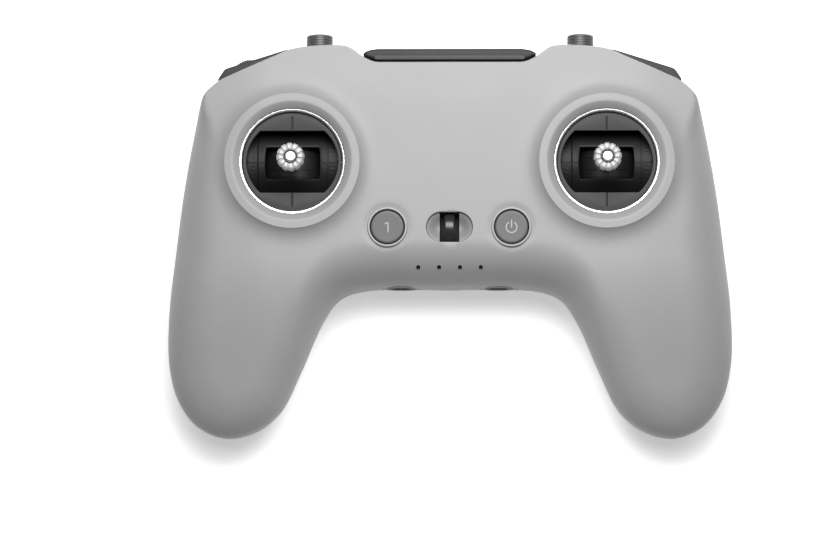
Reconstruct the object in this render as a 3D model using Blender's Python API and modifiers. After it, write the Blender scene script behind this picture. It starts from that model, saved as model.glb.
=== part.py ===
"""A two-stick radio transmitter controller, as an assembly of separate pieces.

It lies on its back, face up: +X to the user's right, +Y towards the top edge, +Z out of the face.
The origin is under the middle of the box, on the surface that the rubber pads rest on.
Sizes below are in millimetres, and MM turns them into metres where a mesh is made.
"""

import math

import bmesh
import bpy
import numpy as np
from mathutils import Matrix, Vector
from mathutils.geometry import delaunay_2d_cdt

MM = 0.001
GAP = 0.3
WALL = 2.0

# Casing: the front and back shells meet at the parting plane.
PART_Z = 17.0
FACE_Z = 36.0
BACK_Z = 1.3
FRONT_EDGE = 9.0
TOP_EDGE = 3.0
BAR_EDGE = 13.5
GRIP_EDGE = 16.0
FRONT_POWER = 2.3
BACK_EDGE = 16.0
BACK_POWER = 2.2
OUTLINE_STEP = 7.5

# Right half of the outline, from the top centre round to the bottom centre.
NOTCH_Y = 58.6
HALF_OUTLINE = (
    (0.0, NOTCH_Y), (24.5, NOTCH_Y), (29.2, 60.6), (34.0, 63.8), (44.0, 64.2), (54.2, 62.8),
    (58.5, 60.9), (74.0, 54.2), (78.1, 52.2), (83.4, 47.0), (86.7, 34.0), (90.0, 15.3),
    (92.6, -5.0), (94.8, -25.0), (94.8, -43.3), (91.6, -55.6), (85.0, -64.2), (75.3, -68.0),
    (65.0, -65.6), (57.0, -59.0), (50.2, -45.5), (43.0, -29.1), (37.6, -21.4), (30.0, -18.3),
    (0.0, -17.5),
)

# Gimbals, mirrored left and right.
GIMBAL_X = 52.8
GIMBAL_Y = 24.2
PIVOT_Z = 16.0
WELL_R = 17.75
COLLAR_IN_R = 19.95
COLLAR_OUT_R = 22.7
COLLAR_RISE = 2.0
DISH_R = 26.0
DISH_END_R = 34.0
COVER_R = 16.6
COVER_TOP = 33.4
APERTURE_R = 15.3
APERTURE_HALF_Y = 10.4
BARREL_R = 15.0
BARREL_WALL = 1.3
BARREL_HALF_X = 14.0
BARREL_SPAN = 64.0
WINDOW_X = 18.7
WINDOW_Y = 11.3
INNER_R = 11.8
INNER_HALF_Y = 5.9
FRAME_HALF = 18.2
FRAME_WALL = 1.8
FRAME_BOTTOM = 6.0
FRAME_TOP = 31.5
PIN_R = 1.4
PIN_HOLE_R = 1.75
POST_R = 1.9
TIP_BOTTOM = 43.0
TIP_TOP = 51.0
TIP_R = 4.65
PETALS = 12
PETAL_DEEP = 0.55

# Front face buttons, lanyard recess and lights.
BUTTON_X = 20.8
FRONT_ROW_Y = 2.0
BUTTON_R = 5.65
BUTTON_HOLE_R = 5.95
RIM_R = 6.6
RIM_RISE = 0.7
RECESS_L = 15.5
RECESS_W = 10.1
RECESS_DEEP = 6.9
BAR_W = 3.64
BAR_TOP = 35.5
BAR_UNDER = 32.2
LIGHT_Y = -11.3
LIGHT_XS = (-10.5, -3.5, 3.5, 10.5)

# Top edge: toggle switches and antenna cover.
SWITCH_X = 44.2
SWITCH_PIVOT_Y = 54.5
SWITCH_Z = 19.0
KNOB_R = 4.5
KNOB_Y = 61.0
KNOB_END_Y = 68.5
COVER_HALF_X = 29.2
COVER_Y = 62.7
COVER_LOW = 5.0
COVER_HIGH = 31.5

# Shoulders: a dark trim on each, with its buttons. A to B is the trim's outer edge seen from the front.
TRIM_A = Vector((54.4, 63.4))
TRIM_B = Vector((76.0, 56.6))
TRIM_END = Vector((78.6, 52.6))
TRIM_LOW = 11.0
TRIM_HIGH = 27.0
TRIM_DEPTH = 3.6
SHOULDER_Z = 19.0
DIAL_R = 6.5
DIAL_AT = 15.5
DIAL_INSET = 4.9
DIAL_TEETH = 22
AXLE_R = 1.15

# Board, battery and bottom edge.
BOARD_Z = 25.0
BOARD_T = 1.6
CELL_R = 9.2
CELL_L = 65.0
CELL_Z = 14.6
CELL_YS = (9.6, 28.4)
SLEEVE_X = 16.5
SLEEVE_R = 6.2
SLEEVE_BORE_R = 4.9
SLEEVE_DEEP = 14.0
PAD_TOP = 1.7
PAD_ENDS = (Vector((52.0, 34.0)), Vector((74.5, -42.0)))
PAD_HALF_W = 9.5
PORT_L = 8.9
PORT_W = 3.3
PORT_Z = 11.0
SCREW_R = 1.05
FRONT_BOSS_R = 3.2
BACK_POST_R = 4.2
SCREW_SPOTS = ((79.0, 13.0), (27.0, 47.5), (66.0, -55.0))

COLOURS = {
    "shell": ((0.42, 0.41, 0.40), 0.55, 0.0),
    "dark": ((0.06, 0.06, 0.065), 0.4, 0.0),
    "black": ((0.02, 0.02, 0.02), 0.45, 0.0),
    "rubber": ((0.09, 0.09, 0.09), 0.85, 0.0),
    "steel": ((0.62, 0.62, 0.62), 0.3, 1.0),
    "silver": ((0.85, 0.85, 0.85), 0.2, 1.0),
    "board": ((0.02, 0.16, 0.08), 0.5, 0.0),
    "cell": ((0.10, 0.30, 0.45), 0.35, 0.0),
    "light": ((0.75, 0.78, 0.76), 0.3, 0.0),
}


# ---------------------------------------------------------------- scene and basic solids

def clear_scene():
    for old in list(bpy.data.objects):
        bpy.data.objects.remove(old, do_unlink=True)


def new_collection(name):
    made = bpy.data.collections.new(name)
    bpy.context.scene.collection.children.link(made)
    return made


def material(name):
    colour, roughness, metallic = COLOURS[name]
    made = bpy.data.materials.new(name)
    made.use_nodes = True
    shader = made.node_tree.nodes["Principled BSDF"]
    shader.inputs["Base Color"].default_value = (*colour, 1.0)
    shader.inputs["Roughness"].default_value = roughness
    shader.inputs["Metallic"].default_value = metallic
    return made


def add_object(name, bm, finish=None):
    """A node when it has a finish, or a hidden cutter when it has none."""
    bmesh.ops.recalc_face_normals(bm, faces=bm.faces)
    mesh = bpy.data.meshes.new(name)
    bm.to_mesh(mesh)
    bm.free()
    made = bpy.data.objects.new(name, mesh)
    if finish is None:
        CUTTERS.objects.link(made)
        made.hide_render = True
        made.display_type = "WIRE"
    else:
        PARTS.objects.link(made)
        mesh.materials.append(MATERIALS[finish])
        mesh.shade_smooth()
        mesh.set_sharp_from_angle(angle=math.radians(35))
    return made


def box(name, size, centre, finish=None, turn=0.0, bevel=0.0):
    bm = bmesh.new()
    bmesh.ops.create_cube(bm, size=1.0)
    bmesh.ops.scale(bm, vec=Vector(size) * MM, verts=bm.verts)
    if bevel:
        bmesh.ops.bevel(bm, geom=bm.edges[:], offset=bevel * MM, segments=2, profile=0.5, affect="EDGES")
    made = add_object(name, bm, finish)
    made.location = Vector(centre) * MM
    made.rotation_euler = (0.0, 0.0, turn)
    return made


def along(direction):
    """The rotation that takes +Z to a direction."""
    return Vector((0, 0, 1)).rotation_difference(Vector(direction)).to_euler()


def rod(name, radius, length, centre, axis=(0, 0, 1), finish=None, sides=24):
    bm = bmesh.new()
    bmesh.ops.create_cone(
        bm, cap_ends=True, segments=sides, radius1=radius * MM, radius2=radius * MM, depth=length * MM
    )
    made = add_object(name, bm, finish)
    made.location = Vector(centre) * MM
    made.rotation_euler = along(axis)
    return made


def turned(name, profile, place, axis=(0, 0, 1), finish=None, sides=32):
    """A Screw of (radius, height) points, run down the outer side. A ring's profile closes on itself."""
    bm = bmesh.new()
    points = [bm.verts.new((radius * MM, 0.0, height * MM)) for radius, height in profile]
    for first, second in zip(points, points[1:]):
        bm.edges.new((first, second))
    if profile[0][0] > 0.0:
        bm.edges.new((points[-1], points[0]))
    mesh = bpy.data.meshes.new(name)
    bm.to_mesh(mesh)
    bm.free()
    made = bpy.data.objects.new(name, mesh)
    screw = made.modifiers.new("turn", "SCREW")
    screw.steps = screw.render_steps = sides
    screw.use_merge_vertices = True
    screw.merge_threshold = 1e-6
    screw.use_smooth_shade = True
    if finish is None:
        CUTTERS.objects.link(made)
        made.hide_render = True
        made.display_type = "WIRE"
    else:
        PARTS.objects.link(made)
        mesh.materials.append(MATERIALS[finish])
    made.location = Vector(place) * MM
    made.rotation_euler = along(axis)
    return made


def plate(name, outline, low, high, finish=None, bevel=0.0):
    """A flat outline in the XY plane, raised from low to high."""
    bm = bmesh.new()
    face = bm.faces.new([bm.verts.new((x * MM, y * MM, low * MM)) for x, y in outline])
    raised = bmesh.ops.extrude_face_region(bm, geom=[face])["geom"]
    verts = [item for item in raised if isinstance(item, bmesh.types.BMVert)]
    bmesh.ops.translate(bm, vec=(0, 0, (high - low) * MM), verts=verts)
    if bevel:
        rim = [edge for edge in bm.edges if abs(edge.verts[0].co.z - edge.verts[1].co.z) < 1e-9]
        bmesh.ops.bevel(bm, geom=rim, offset=bevel * MM, segments=2, profile=0.5, affect="EDGES")
    return add_object(name, bm, finish)


def boolean(target, operation, tools):
    for tool in tools:
        modifier = target.modifiers.new(tool.name, "BOOLEAN")
        modifier.operation = operation
        modifier.object = tool
    return target


def cut(target, *tools):
    return boolean(target, "DIFFERENCE", tools)


def join(target, *tools):
    return boolean(target, "UNION", tools)


def arc(centre, radius, start, end, count):
    angles = [start + (end - start) * step / (count - 1) for step in range(count)]
    return [(centre[0] + radius * math.cos(a), centre[1] + radius * math.sin(a)) for a in angles]


def pill(centre, length, width, count=9):
    """A slot outline along X with round ends."""
    reach = (length - width) / 2
    right = arc((centre[0] + reach, centre[1]), width / 2, -math.pi / 2, math.pi / 2, count)
    left = arc((centre[0] - reach, centre[1]), width / 2, math.pi / 2, 3 * math.pi / 2, count)
    return right + left


def capsule(first, second, half_width, count=10):
    """A slot outline between two points, with round ends."""
    run = second - first
    heading = math.atan2(run.y, run.x)
    far = arc(second, half_width, heading - math.pi / 2, heading + math.pi / 2, count)
    near = arc(first, half_width, heading + math.pi / 2, heading + 3 * math.pi / 2, count)
    return far + near


# ---------------------------------------------------------------- the casing's outline and heights

def spline(points, step):
    """A centripetal Catmull-Rom curve through the points, in pieces about one step long."""
    points = [Vector(p) for p in points]
    ends = [2 * points[0] - points[1], *points, 2 * points[-1] - points[-2]]
    path = []
    for a, b, c, d in zip(ends, ends[1:], ends[2:], ends[3:]):
        knots = [0.0]
        for first, second in ((a, b), (b, c), (c, d)):
            knots.append(knots[-1] + math.sqrt((second - first).length))
        k0, k1, k2, k3 = knots
        bend = abs((c - b).angle_signed(b - a)) + abs((d - c).angle_signed(c - b))
        pieces = max(1, round((c - b).length / step), round(bend / 0.55))
        for piece in range(pieces):
            t = k1 + (k2 - k1) * piece / pieces
            ab = a.lerp(b, (t - k0) / (k1 - k0))
            bc = b.lerp(c, (t - k1) / (k2 - k1))
            cd = c.lerp(d, (t - k2) / (k3 - k2))
            abc = ab.lerp(bc, (t - k0) / (k2 - k0))
            bcd = bc.lerp(cd, (t - k1) / (k3 - k1))
            path.append(abc.lerp(bcd, (t - k1) / (k2 - k1)))
    return [*path, points[-1]]


def casing_outline():
    """The whole closed outline, clockwise from the top centre, as an array."""
    right = spline(HALF_OUTLINE, OUTLINE_STEP)
    left = [Vector((-p.x, p.y)) for p in reversed(right[1:-1])]
    return np.array([(p.x, p.y) for p in right + left])


def edge_distance(points, outline):
    """How far each point is from the outline's nearest edge."""
    start = outline
    run = np.roll(outline, -1, axis=0) - start
    along_run = ((points[:, None] - start) * run).sum(-1) / (run * run).sum(-1)
    nearest = start + np.clip(along_run, 0, 1)[..., None] * run
    return np.sqrt(((points[:, None] - nearest) ** 2).sum(-1)).min(1)


def inward(outline):
    """Unit vectors that point inside the clockwise outline, one for each of its points."""
    run = np.roll(outline, -1, axis=0) - np.roll(outline, 1, axis=0)
    normal = np.stack([run[:, 1], -run[:, 0]], axis=1)
    return normal / np.linalg.norm(normal, axis=1)[:, None]


def smooth(value):
    value = np.clip(value, 0.0, 1.0)
    return value * value * (3 - 2 * value)


def edge_profile(distance, width, power):
    """Height from 0 at the outline to 1 inside, with an upright start and a level end."""
    rest = 1 - np.clip(distance / width, 0, 1)
    return (1 - rest ** power) ** (1 / power)


def inner_edge(x, y):
    """How wide the rounding of the front's edge is inside: narrow at the top and full on the grips."""
    width = FRONT_EDGE + (TOP_EDGE - FRONT_EDGE) * smooth((y - 34) / 14)
    grip = smooth((np.abs(x) - 36) / 26) * smooth((34 - y) / 44)
    return width + (GRIP_EDGE - FRONT_EDGE) * grip


def front_edge(x, y):
    """The same outside, where the edge above the grip gap is broader too."""
    bar = smooth((14 - y) / 22) * smooth((62 - np.abs(x)) / 24)
    return np.maximum(inner_edge(x, y), FRONT_EDGE + (BAR_EDGE - FRONT_EDGE) * bar)


def plateau(x, y):
    """The height of the face away from its edges and its raised details."""
    grips = 7.5 * smooth((-y - 8) / 62)
    sides = 2.6 * smooth((np.abs(x) - 60) / 30)
    top = 1.2 * smooth((y - 44) / 20)
    return FACE_Z - grips - sides - top


def collar(radius):
    """The raised ring round a gimbal, with the dish outside it."""
    rise = COLLAR_RISE * smooth((radius - WELL_R + 1.6) / (COLLAR_IN_R - WELL_R + 1.6)) - 0.4
    fall = (COLLAR_RISE + 1.0) * smooth((radius - COLLAR_OUT_R) / (DISH_R - COLLAR_OUT_R))
    back = 1.4 * smooth((radius - DISH_R) / (DISH_END_R - DISH_R))
    return rise - fall + back


def face_height(x, y, distance):
    height = plateau(x, y) + collar(np.hypot(np.abs(x) - GIMBAL_X, y - GIMBAL_Y))
    rim = np.hypot(np.abs(x) - BUTTON_X, y - FRONT_ROW_Y)
    height = height + RIM_RISE * smooth((8.2 - rim) / 1.2)
    base = PART_Z + GAP / 2
    return base + (height - base) * edge_profile(distance, front_edge(x, y), FRONT_POWER)


def face_inside(x, y, distance):
    base = PART_Z + GAP / 2
    under = plateau(x, y) - WALL - 0.5
    return base + (under - base) * edge_profile(distance - WALL, inner_edge(x, y), FRONT_POWER)


def back_height(x, y, distance):
    base = PART_Z - GAP / 2
    floor = BACK_Z + 1.2 * smooth((34 - np.abs(x)) / 12)
    return base - (base - floor) * edge_profile(distance, BACK_EDGE, BACK_POWER)


def back_inside(x, y, distance):
    base = PART_Z - GAP / 2
    floor = BACK_Z + WALL + 0.4
    return base - (base - floor) * edge_profile(distance - WALL, BACK_EDGE, BACK_POWER)


def ring_points(radii, sides):
    """Circles round both gimbals."""
    found = []
    for side in (-1, 1):
        for radius in radii:
            found += arc((side * GIMBAL_X, GIMBAL_Y), radius, 0, math.tau * (1 - 1 / sides), sides)
    return found


def button_points(radii, sides):
    found = []
    for side in (-1, 1):
        for radius in radii:
            found += arc((side * BUTTON_X, FRONT_ROW_Y), radius, 0, math.tau * (1 - 1 / sides), sides)
    return found


def grid_points(step):
    """A staggered grid that covers the casing."""
    found = []
    for row in range(round(140 / step)):
        shift = step / 2 if row % 2 else 0.0
        for column in range(round(200 / step)):
            found.append((-100 + column * step + shift, 68 - row * step))
    return found


def inside_outline(points, outline):
    """Even-odd test of each point against the outline."""
    start = outline
    end = np.roll(outline, -1, axis=0)
    x, y = points[:, :1], points[:, 1:]
    spans = (start[:, 1] > y) != (end[:, 1] > y)
    rise = np.where(end[:, 1] == start[:, 1], 1.0, end[:, 1] - start[:, 1])
    crossing = start[:, 0] + (y - start[:, 1]) / rise * (end[:, 0] - start[:, 0])
    return ((spans & (x < crossing)).sum(1) % 2) == 1


def dome(name, height, inset, depths, details, step, lip=0.0, finish=None):
    """A closed solid, flat at the parting plane, with its other side at height(x, y, distance).

    Rings follow the outline at the given depths inside the inset, details are extra points and step is the
    spacing elsewhere. A lip moves the flat side along Z.
    """
    outline = casing_outline()
    normals = inward(outline)
    rings = []
    for depth in (0.0, *depths):
        ring = outline + normals * (inset + depth)
        rings.append(ring[edge_distance(ring, outline) > (inset + depth) * 0.97])
    rim = rings[0] if inset else outline
    limit = inset + depths[-1]
    details = np.array(details).reshape(-1, 2)
    if len(details):
        details = details[edge_distance(details, outline) > limit + 1.0]
    grid = np.array(grid_points(step))
    grid = grid[inside_outline(grid, outline)]
    grid = grid[edge_distance(grid, outline) > limit + step * 0.45]
    if len(details):
        grid = grid[np.sqrt(((grid[:, None] - details) ** 2).sum(-1)).min(1) > step * 0.5]
    plan = np.concatenate([rim, *rings[1:], details, grid])
    corners, _, faces, sources, _, _ = delaunay_2d_cdt(
        [Vector(p) for p in plan], [], [list(range(len(rim)))], 1, 1e-5
    )
    plan = np.array([(p.x, p.y) for p in corners])
    heights = height(plan[:, 0], plan[:, 1], edge_distance(plan, outline))
    place = {source: index for index, found in enumerate(sources) for source in found}
    rim_order = [place[index] for index in range(len(rim))]
    heights[rim_order] = height(np.zeros(1), np.zeros(1), np.full(1, inset))[0] + lip

    bm = bmesh.new()
    verts = [bm.verts.new((x * MM, y * MM, z * MM)) for (x, y), z in zip(plan, heights)]
    for face in faces:
        bm.faces.new([verts[index] for index in face])
    bm.faces.new([verts[index] for index in rim_order])
    return add_object(name, bm, finish)


# ---------------------------------------------------------------- casing

def shoulder_normal():
    run = (TRIM_B - TRIM_A).normalized()
    return Vector((-run.y, run.x))


def on_shoulder(side, along_edge, inset=0.0):
    """A plan point on a shoulder trim's outer edge, moved inwards by the inset."""
    run = (TRIM_B - TRIM_A).normalized()
    point = TRIM_A + run * along_edge - shoulder_normal() * inset
    return Vector((side * point.x, point.y))


def mirrored(outline, side):
    return [(side * x, y) for x, y in outline]


def trim_outline(grow=0.0):
    """The plan of the right shoulder trim, or of the pocket that takes it."""
    corner = Vector((57.0, 61.7))
    line = (TRIM_END - corner).normalized()
    deep = Vector((line.y, -line.x)) * (TRIM_DEPTH + grow)
    lift = shoulder_normal() * grow
    return [
        tuple(TRIM_A + lift - line * grow), tuple(TRIM_B + lift + line * grow),
        tuple(TRIM_END + line * grow), tuple(TRIM_END + deep + line * (grow - 2.0)),
        tuple(corner + deep - line * (grow + 2.4)),
    ]


def make_front_shell():
    details = ring_points((16.5, 19.6, COLLAR_OUT_R, 25.5), 24) + button_points((RIM_R, 8.2), 14)
    shell = dome("front_shell", face_height, 0.0, (0.5, 2.2, 5.6), details, 11.0, finish="shell")
    cavity = dome("front_cavity", face_inside, WALL, (0.8, 4.4), [], 15.0, lip=-1.0)
    cut(shell, cavity)
    for side, label in ((-1, "left"), (1, "right")):
        for index, (x, y) in enumerate(SCREW_SPOTS):
            roof = float(plateau(np.array(x), np.array(y))) - 1.6
            low = PART_Z + 0.4
            place = (side * x, y, (roof + low) / 2)
            join(shell, rod(f"front_boss_{label}_{index}", FRONT_BOSS_R, roof - low, place, sides=12))
            place = (side * x, y, low + 4.0)
            cut(shell, rod(f"front_screw_hole_{label}_{index}", SCREW_R + GAP, 10.0, place, sides=12))
        place = (side * GIMBAL_X, GIMBAL_Y, 35.0)
        cut(shell, rod(f"well_{label}", WELL_R, 12.0, place, sides=36))
        place = (side * BUTTON_X, FRONT_ROW_Y, 35.0)
        cut(shell, rod(f"button_hole_{label}", BUTTON_HOLE_R, 12.0, place, sides=20))
    cut(shell, plate("recess_hole", pill((0, FRONT_ROW_Y), RECESS_L, RECESS_W), 30.0, 40.0))
    for index, x in enumerate(LIGHT_XS):
        cut(shell, rod(f"light_hole_{index}", 0.75, 12.0, (x, LIGHT_Y, 34.0), sides=12))
    return shell


def make_back_shell():
    shell = dome("back_shell", back_height, 0.0, (0.7, 3.2, 8.5), [], 13.0, finish="shell")
    cavity = dome("back_cavity", back_inside, WALL, (1.2, 6.0), [], 16.0, lip=1.0)
    cut(shell, cavity)
    for side, label in ((-1, "left"), (1, "right")):
        for index, (x, y) in enumerate(SCREW_SPOTS):
            low, high = 2.6, PART_Z - 0.4
            place = (side * x, y, (low + high) / 2)
            join(shell, rod(f"back_post_{label}_{index}", BACK_POST_R, high - low, place, sides=16))
            cut(
                shell,
                rod(f"back_screw_hole_{label}_{index}", 1.6, 30.0, (side * x, y, 15.0), sides=12),
                rod(f"head_hole_{label}_{index}", 2.9, 10.0, (side * x, y, 3.3), sides=12),
            )
        first, second = (Vector((side * end.x, end.y)) for end in PAD_ENDS)
        plan = capsule(first, second, PAD_HALF_W + GAP)
        cut(shell, plate(f"pad_pocket_{label}", plan, -2.0, PAD_TOP + GAP))
        place = (side * SLEEVE_X, -15.0, PART_Z)
        cut(shell, rod(f"sleeve_hole_{label}", SLEEVE_R + GAP, 12.0, place, (0, 1, 0)))
    slot = plate("usb_slot", pill((0, 0), PORT_L + 0.7, PORT_W + 0.7), -6.0, 6.0)
    stand_up(slot, (0, -17.0, PORT_Z), 0.0)
    cut(shell, slot)
    return shell


def cut_sides(front, back):
    """The openings that cross the parting plane, cut from both shells."""
    for side, label in ((-1, "left"), (1, "right")):
        slot = box(f"switch_slot_{label}", (10.4, 12.0, 14.4), (side * SWITCH_X, 64.0, SWITCH_Z))
        plan = mirrored(trim_outline(GAP), side)
        pocket = plate(f"trim_pocket_{label}", plan, TRIM_LOW - GAP, TRIM_HIGH + GAP)
        cut(front, slot, pocket)
        cut(back, slot, pocket)
        cut(front, bpy.data.objects[f"sleeve_hole_{label}"])


def make_antenna_cover():
    """A strip with round ends that fills the notch in the top edge."""
    right = [(COVER_HALF_X, 61.1), (27.6, 62.2), (24.5, COVER_Y)]
    left = [(-x, y) for x, y in reversed(right)]
    low = NOTCH_Y + GAP
    plan = [(24.3, low), (28.4, 60.4), *right, *left, (-28.4, 60.4), (-24.3, low)]
    return plate("antenna_cover", plan, COVER_LOW, COVER_HIGH, "dark", bevel=0.8)


def make_pads():
    for side, label in ((-1, "left"), (1, "right")):
        first, second = (Vector((side * end.x, end.y)) for end in PAD_ENDS)
        plate(f"grip_pad_{label}", capsule(first, second, PAD_HALF_W), 0.0, PAD_TOP, "rubber", bevel=0.4)


def make_screws():
    number = 0
    for side in (-1, 1):
        for x, y in SCREW_SPOTS:
            number += 1
            profile = [(0, 26.0), (1.05, 26.0), (1.05, 8.0), (2.4, 8.0), (2.4, 6.4), (0, 6.4)]
            turned(f"case_screw_{number}", profile, (side * x, y, 0), finish="steel", sides=12)


# ---------------------------------------------------------------- gimbals

def aperture_outline():
    """The opening in a gimbal cover: a circle with a flat top and bottom."""
    reach = math.asin(APERTURE_HALF_Y / APERTURE_R)
    right = arc((0, 0), APERTURE_R, -reach, reach, 9)
    left = arc((0, 0), APERTURE_R, math.pi - reach, math.pi + reach, 9)
    return right + left


def ring_sector(outer, inner, half_angle, count):
    """The outline of part of a ring about the origin, centred on the second axis."""
    start, end = math.pi / 2 - half_angle, math.pi / 2 + half_angle
    return arc((0, 0), outer, start, end, count) + arc((0, 0), inner, end, start, count)


def stand_up(made, place, spin):
    """Turns a plate's outline, drawn as (across, up), upright at a place."""
    turn = Matrix.Rotation(spin, 4, "Z") @ Matrix.Rotation(math.pi / 2, 4, "X")
    made.rotation_euler = turn.to_euler()
    made.location = Vector(place) * MM


def make_gimbal(side, label):
    centre = (side * GIMBAL_X, GIMBAL_Y)
    pivot = (*centre, PIVOT_Z)
    ring = [(17.25, 35.9), (17.45, 35.5), (17.45, 31.9), (16.95, 31.9), (16.95, 35.4)]
    turned(f"gimbal_trim_ring_{label}", ring, (*centre, 0), finish="silver", sides=36)

    cover = rod(f"gimbal_cover_{label}", COVER_R, 1.5, (*centre, COVER_TOP - 0.75), finish="dark", sides=36)
    opening = plate(f"aperture_{label}", aperture_outline(), -3.0, 3.0)
    opening.location = Vector((*centre, COVER_TOP)) * MM
    cut(cover, opening)
    make_frame(centre, label)
    make_pitch_yoke(pivot, label)
    make_roll_yoke(pivot, label)
    make_stick(centre, label)
    outer = side * (GIMBAL_X + FRAME_HALF + 1.1)
    box(f"hall_board_{label}", (1.2, 14.0, 14.0), (outer, GIMBAL_Y, PIVOT_Z), "board")


def make_frame(centre, label):
    middle = (FRAME_TOP + FRAME_BOTTOM) / 2
    height = FRAME_TOP - FRAME_BOTTOM
    size = (2 * FRAME_HALF, 2 * FRAME_HALF, height)
    frame = box(f"gimbal_frame_{label}", size, (*centre, middle), "black")
    inner = 2 * (FRAME_HALF - FRAME_WALL)
    cut(
        frame,
        box(f"frame_inside_{label}", (inner, inner, height + 4), (*centre, middle)),
        rod(f"frame_bore_{label}", PIN_HOLE_R, 50.0, (*centre, PIVOT_Z), (1, 0, 0), sides=16),
    )


def make_pitch_yoke(pivot, label):
    """The outer barrel: part of a tube about X, with a window, end plates, pins and inner cheeks."""
    half = math.radians(BARREL_SPAN)
    sector = ring_sector(BARREL_R, BARREL_R - BARREL_WALL, half, 15)
    yoke = plate(f"pitch_yoke_{label}", sector, -BARREL_HALF_X, BARREL_HALF_X, "black")
    stand_up(yoke, pivot, math.pi / 2)
    cheek_y = INNER_HALF_Y + 1.7
    for end, name in ((-1, "a"), (1, "b")):
        rim = arc((0, 0), BARREL_R - 0.6, math.pi / 2 - half, math.pi / 2 + half, 9)
        flange = plate(f"yoke_end_{name}_{label}", [(0.0, -3.4), *rim], -0.6, 0.6)
        stand_up(flange, (pivot[0] + end * (BARREL_HALF_X - 0.7), pivot[1], pivot[2]), math.pi / 2)
        place = (pivot[0] + end * (BARREL_HALF_X + 1.6), pivot[1], pivot[2])
        pin = rod(f"yoke_pin_{name}_{label}", PIN_R, 4.6, place, (1, 0, 0), sides=16)
        place = (pivot[0], pivot[1] + end * cheek_y, pivot[2] + 4.2)
        cheek = box(f"yoke_cheek_{name}_{label}", (7.0, 1.4, 15.6), place)
        join(yoke, flange, pin, cheek)
    cut(
        yoke,
        box(f"yoke_window_{label}", (WINDOW_X, WINDOW_Y, 10.0), (pivot[0], pivot[1], pivot[2] + BARREL_R)),
        rod(f"yoke_bore_{label}", PIN_HOLE_R, 30.0, pivot, (0, 1, 0), sides=16),
    )


def make_roll_yoke(pivot, label):
    """The inner barrel about Y, on a solid core with pins, and a bore for the stick."""
    sector = ring_sector(INNER_R, INNER_R - 1.4, math.radians(66), 13)
    yoke = plate(f"roll_yoke_{label}", sector, -INNER_HALF_Y, INNER_HALF_Y, "black")
    stand_up(yoke, pivot, 0.0)
    hub = rod(f"roll_hub_{label}", 3.0, 2 * INNER_HALF_Y - 0.4, pivot, (0, 1, 0), sides=14)
    pins = rod(f"roll_pins_{label}", PIN_R, 2 * (INNER_HALF_Y + 2.2), pivot, (0, 1, 0), sides=16)
    reach = INNER_R - 0.7
    neck = rod(f"roll_neck_{label}", 3.4, reach, (pivot[0], pivot[1], pivot[2] + reach / 2), sides=14)
    join(yoke, hub, pins, neck)
    bore = rod(f"stick_bore_{label}", POST_R + GAP, 12.0, (pivot[0], pivot[1], pivot[2] + 9.0), sides=16)
    cut(yoke, bore)


def make_stick(centre, label):
    post_low = PIVOT_Z + 3.4
    post_high = TIP_BOTTOM + 3.0
    post = [
        (0, post_high), (POST_R - 0.3, post_high), (POST_R, post_high - 0.4),
        (POST_R, post_low), (0, post_low),
    ]
    turned(f"stick_post_{label}", post, (*centre, 0), finish="steel", sides=16)
    outline = []
    for step in range(3 * PETALS):
        angle = math.tau * step / (3 * PETALS)
        radius = TIP_R - PETAL_DEEP * (math.cos(PETALS * angle) < -0.5)
        outline.append((radius * math.cos(angle), radius * math.sin(angle)))
    tip = plate(f"stick_tip_{label}", outline, TIP_BOTTOM, TIP_TOP, "silver")
    tip.location = Vector((*centre, 0)) * MM
    socket = rod(f"tip_socket_{label}", POST_R + GAP, 6.6, (*centre, TIP_BOTTOM), sides=16)
    cut(tip, socket)


# ---------------------------------------------------------------- front buttons, recess and lights

def make_front_buttons():
    for side, label in ((-1, "custom"), (1, "power")):
        profile = [
            (0, 36.4), (4.9, 36.35), (BUTTON_R, 35.9), (BUTTON_R, 32.3), (7.3, 32.3), (7.3, 31.3),
            (1.8, 31.3), (1.8, 29.8), (0, 29.8),
        ]
        turned(f"{label}_button", profile, (side * BUTTON_X, FRONT_ROW_Y, 0), finish="dark", sides=20)
        dome_z = BOARD_Z + BOARD_T + GAP
        profile = [(0, 28.6), (1.6, 28.6), (2.6, dome_z + 0.4), (2.6, dome_z), (0, dome_z)]
        turned(f"{label}_dome", profile, (side * BUTTON_X, FRONT_ROW_Y, 0), finish="steel", sides=16)


def make_recess():
    top = 32.1
    low = top - RECESS_DEEP + 1.6
    plan = pill((0, FRONT_ROW_Y), RECESS_L + 3.4, RECESS_W + 3.4)
    cup = plate("lanyard_cup", plan, low, top, "shell", bevel=0.4)
    hollow = plate("cup_hollow", pill((0, FRONT_ROW_Y), RECESS_L - 0.6, RECESS_W - 0.6), low + 1.0, top + 4)
    notch = box("bar_notch", (BAR_W + 2 * GAP, 12.6, 4.6), (0, FRONT_ROW_Y, top))
    cut(cup, hollow, notch)
    half = 5.6
    rise = 4.4
    radius = (half * half + rise * rise) / (2 * rise)
    reach = math.asin(half / radius)
    crown = arc((0, BAR_TOP - radius), radius, math.pi / 2 - reach, math.pi / 2 + reach, 11)
    under = [(-half, 30.3), (-4.2, BAR_UNDER), (4.2, BAR_UNDER), (half, 30.3)]
    bar = plate("lanyard_bar", [*crown, *under], -BAR_W / 2, BAR_W / 2, "dark")
    stand_up(bar, (0, FRONT_ROW_Y, 0), math.pi / 2)


def make_lights():
    strip = box("light_guide", (24.0, 1.6, 1.2), (0, LIGHT_Y, 27.6), "light")
    for x in LIGHT_XS:
        join(strip, rod(f"light_prong_{x:.0f}", 0.45, 5.4, (x, LIGHT_Y, 30.5), sides=10))


# ---------------------------------------------------------------- top edge and shoulders

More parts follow.
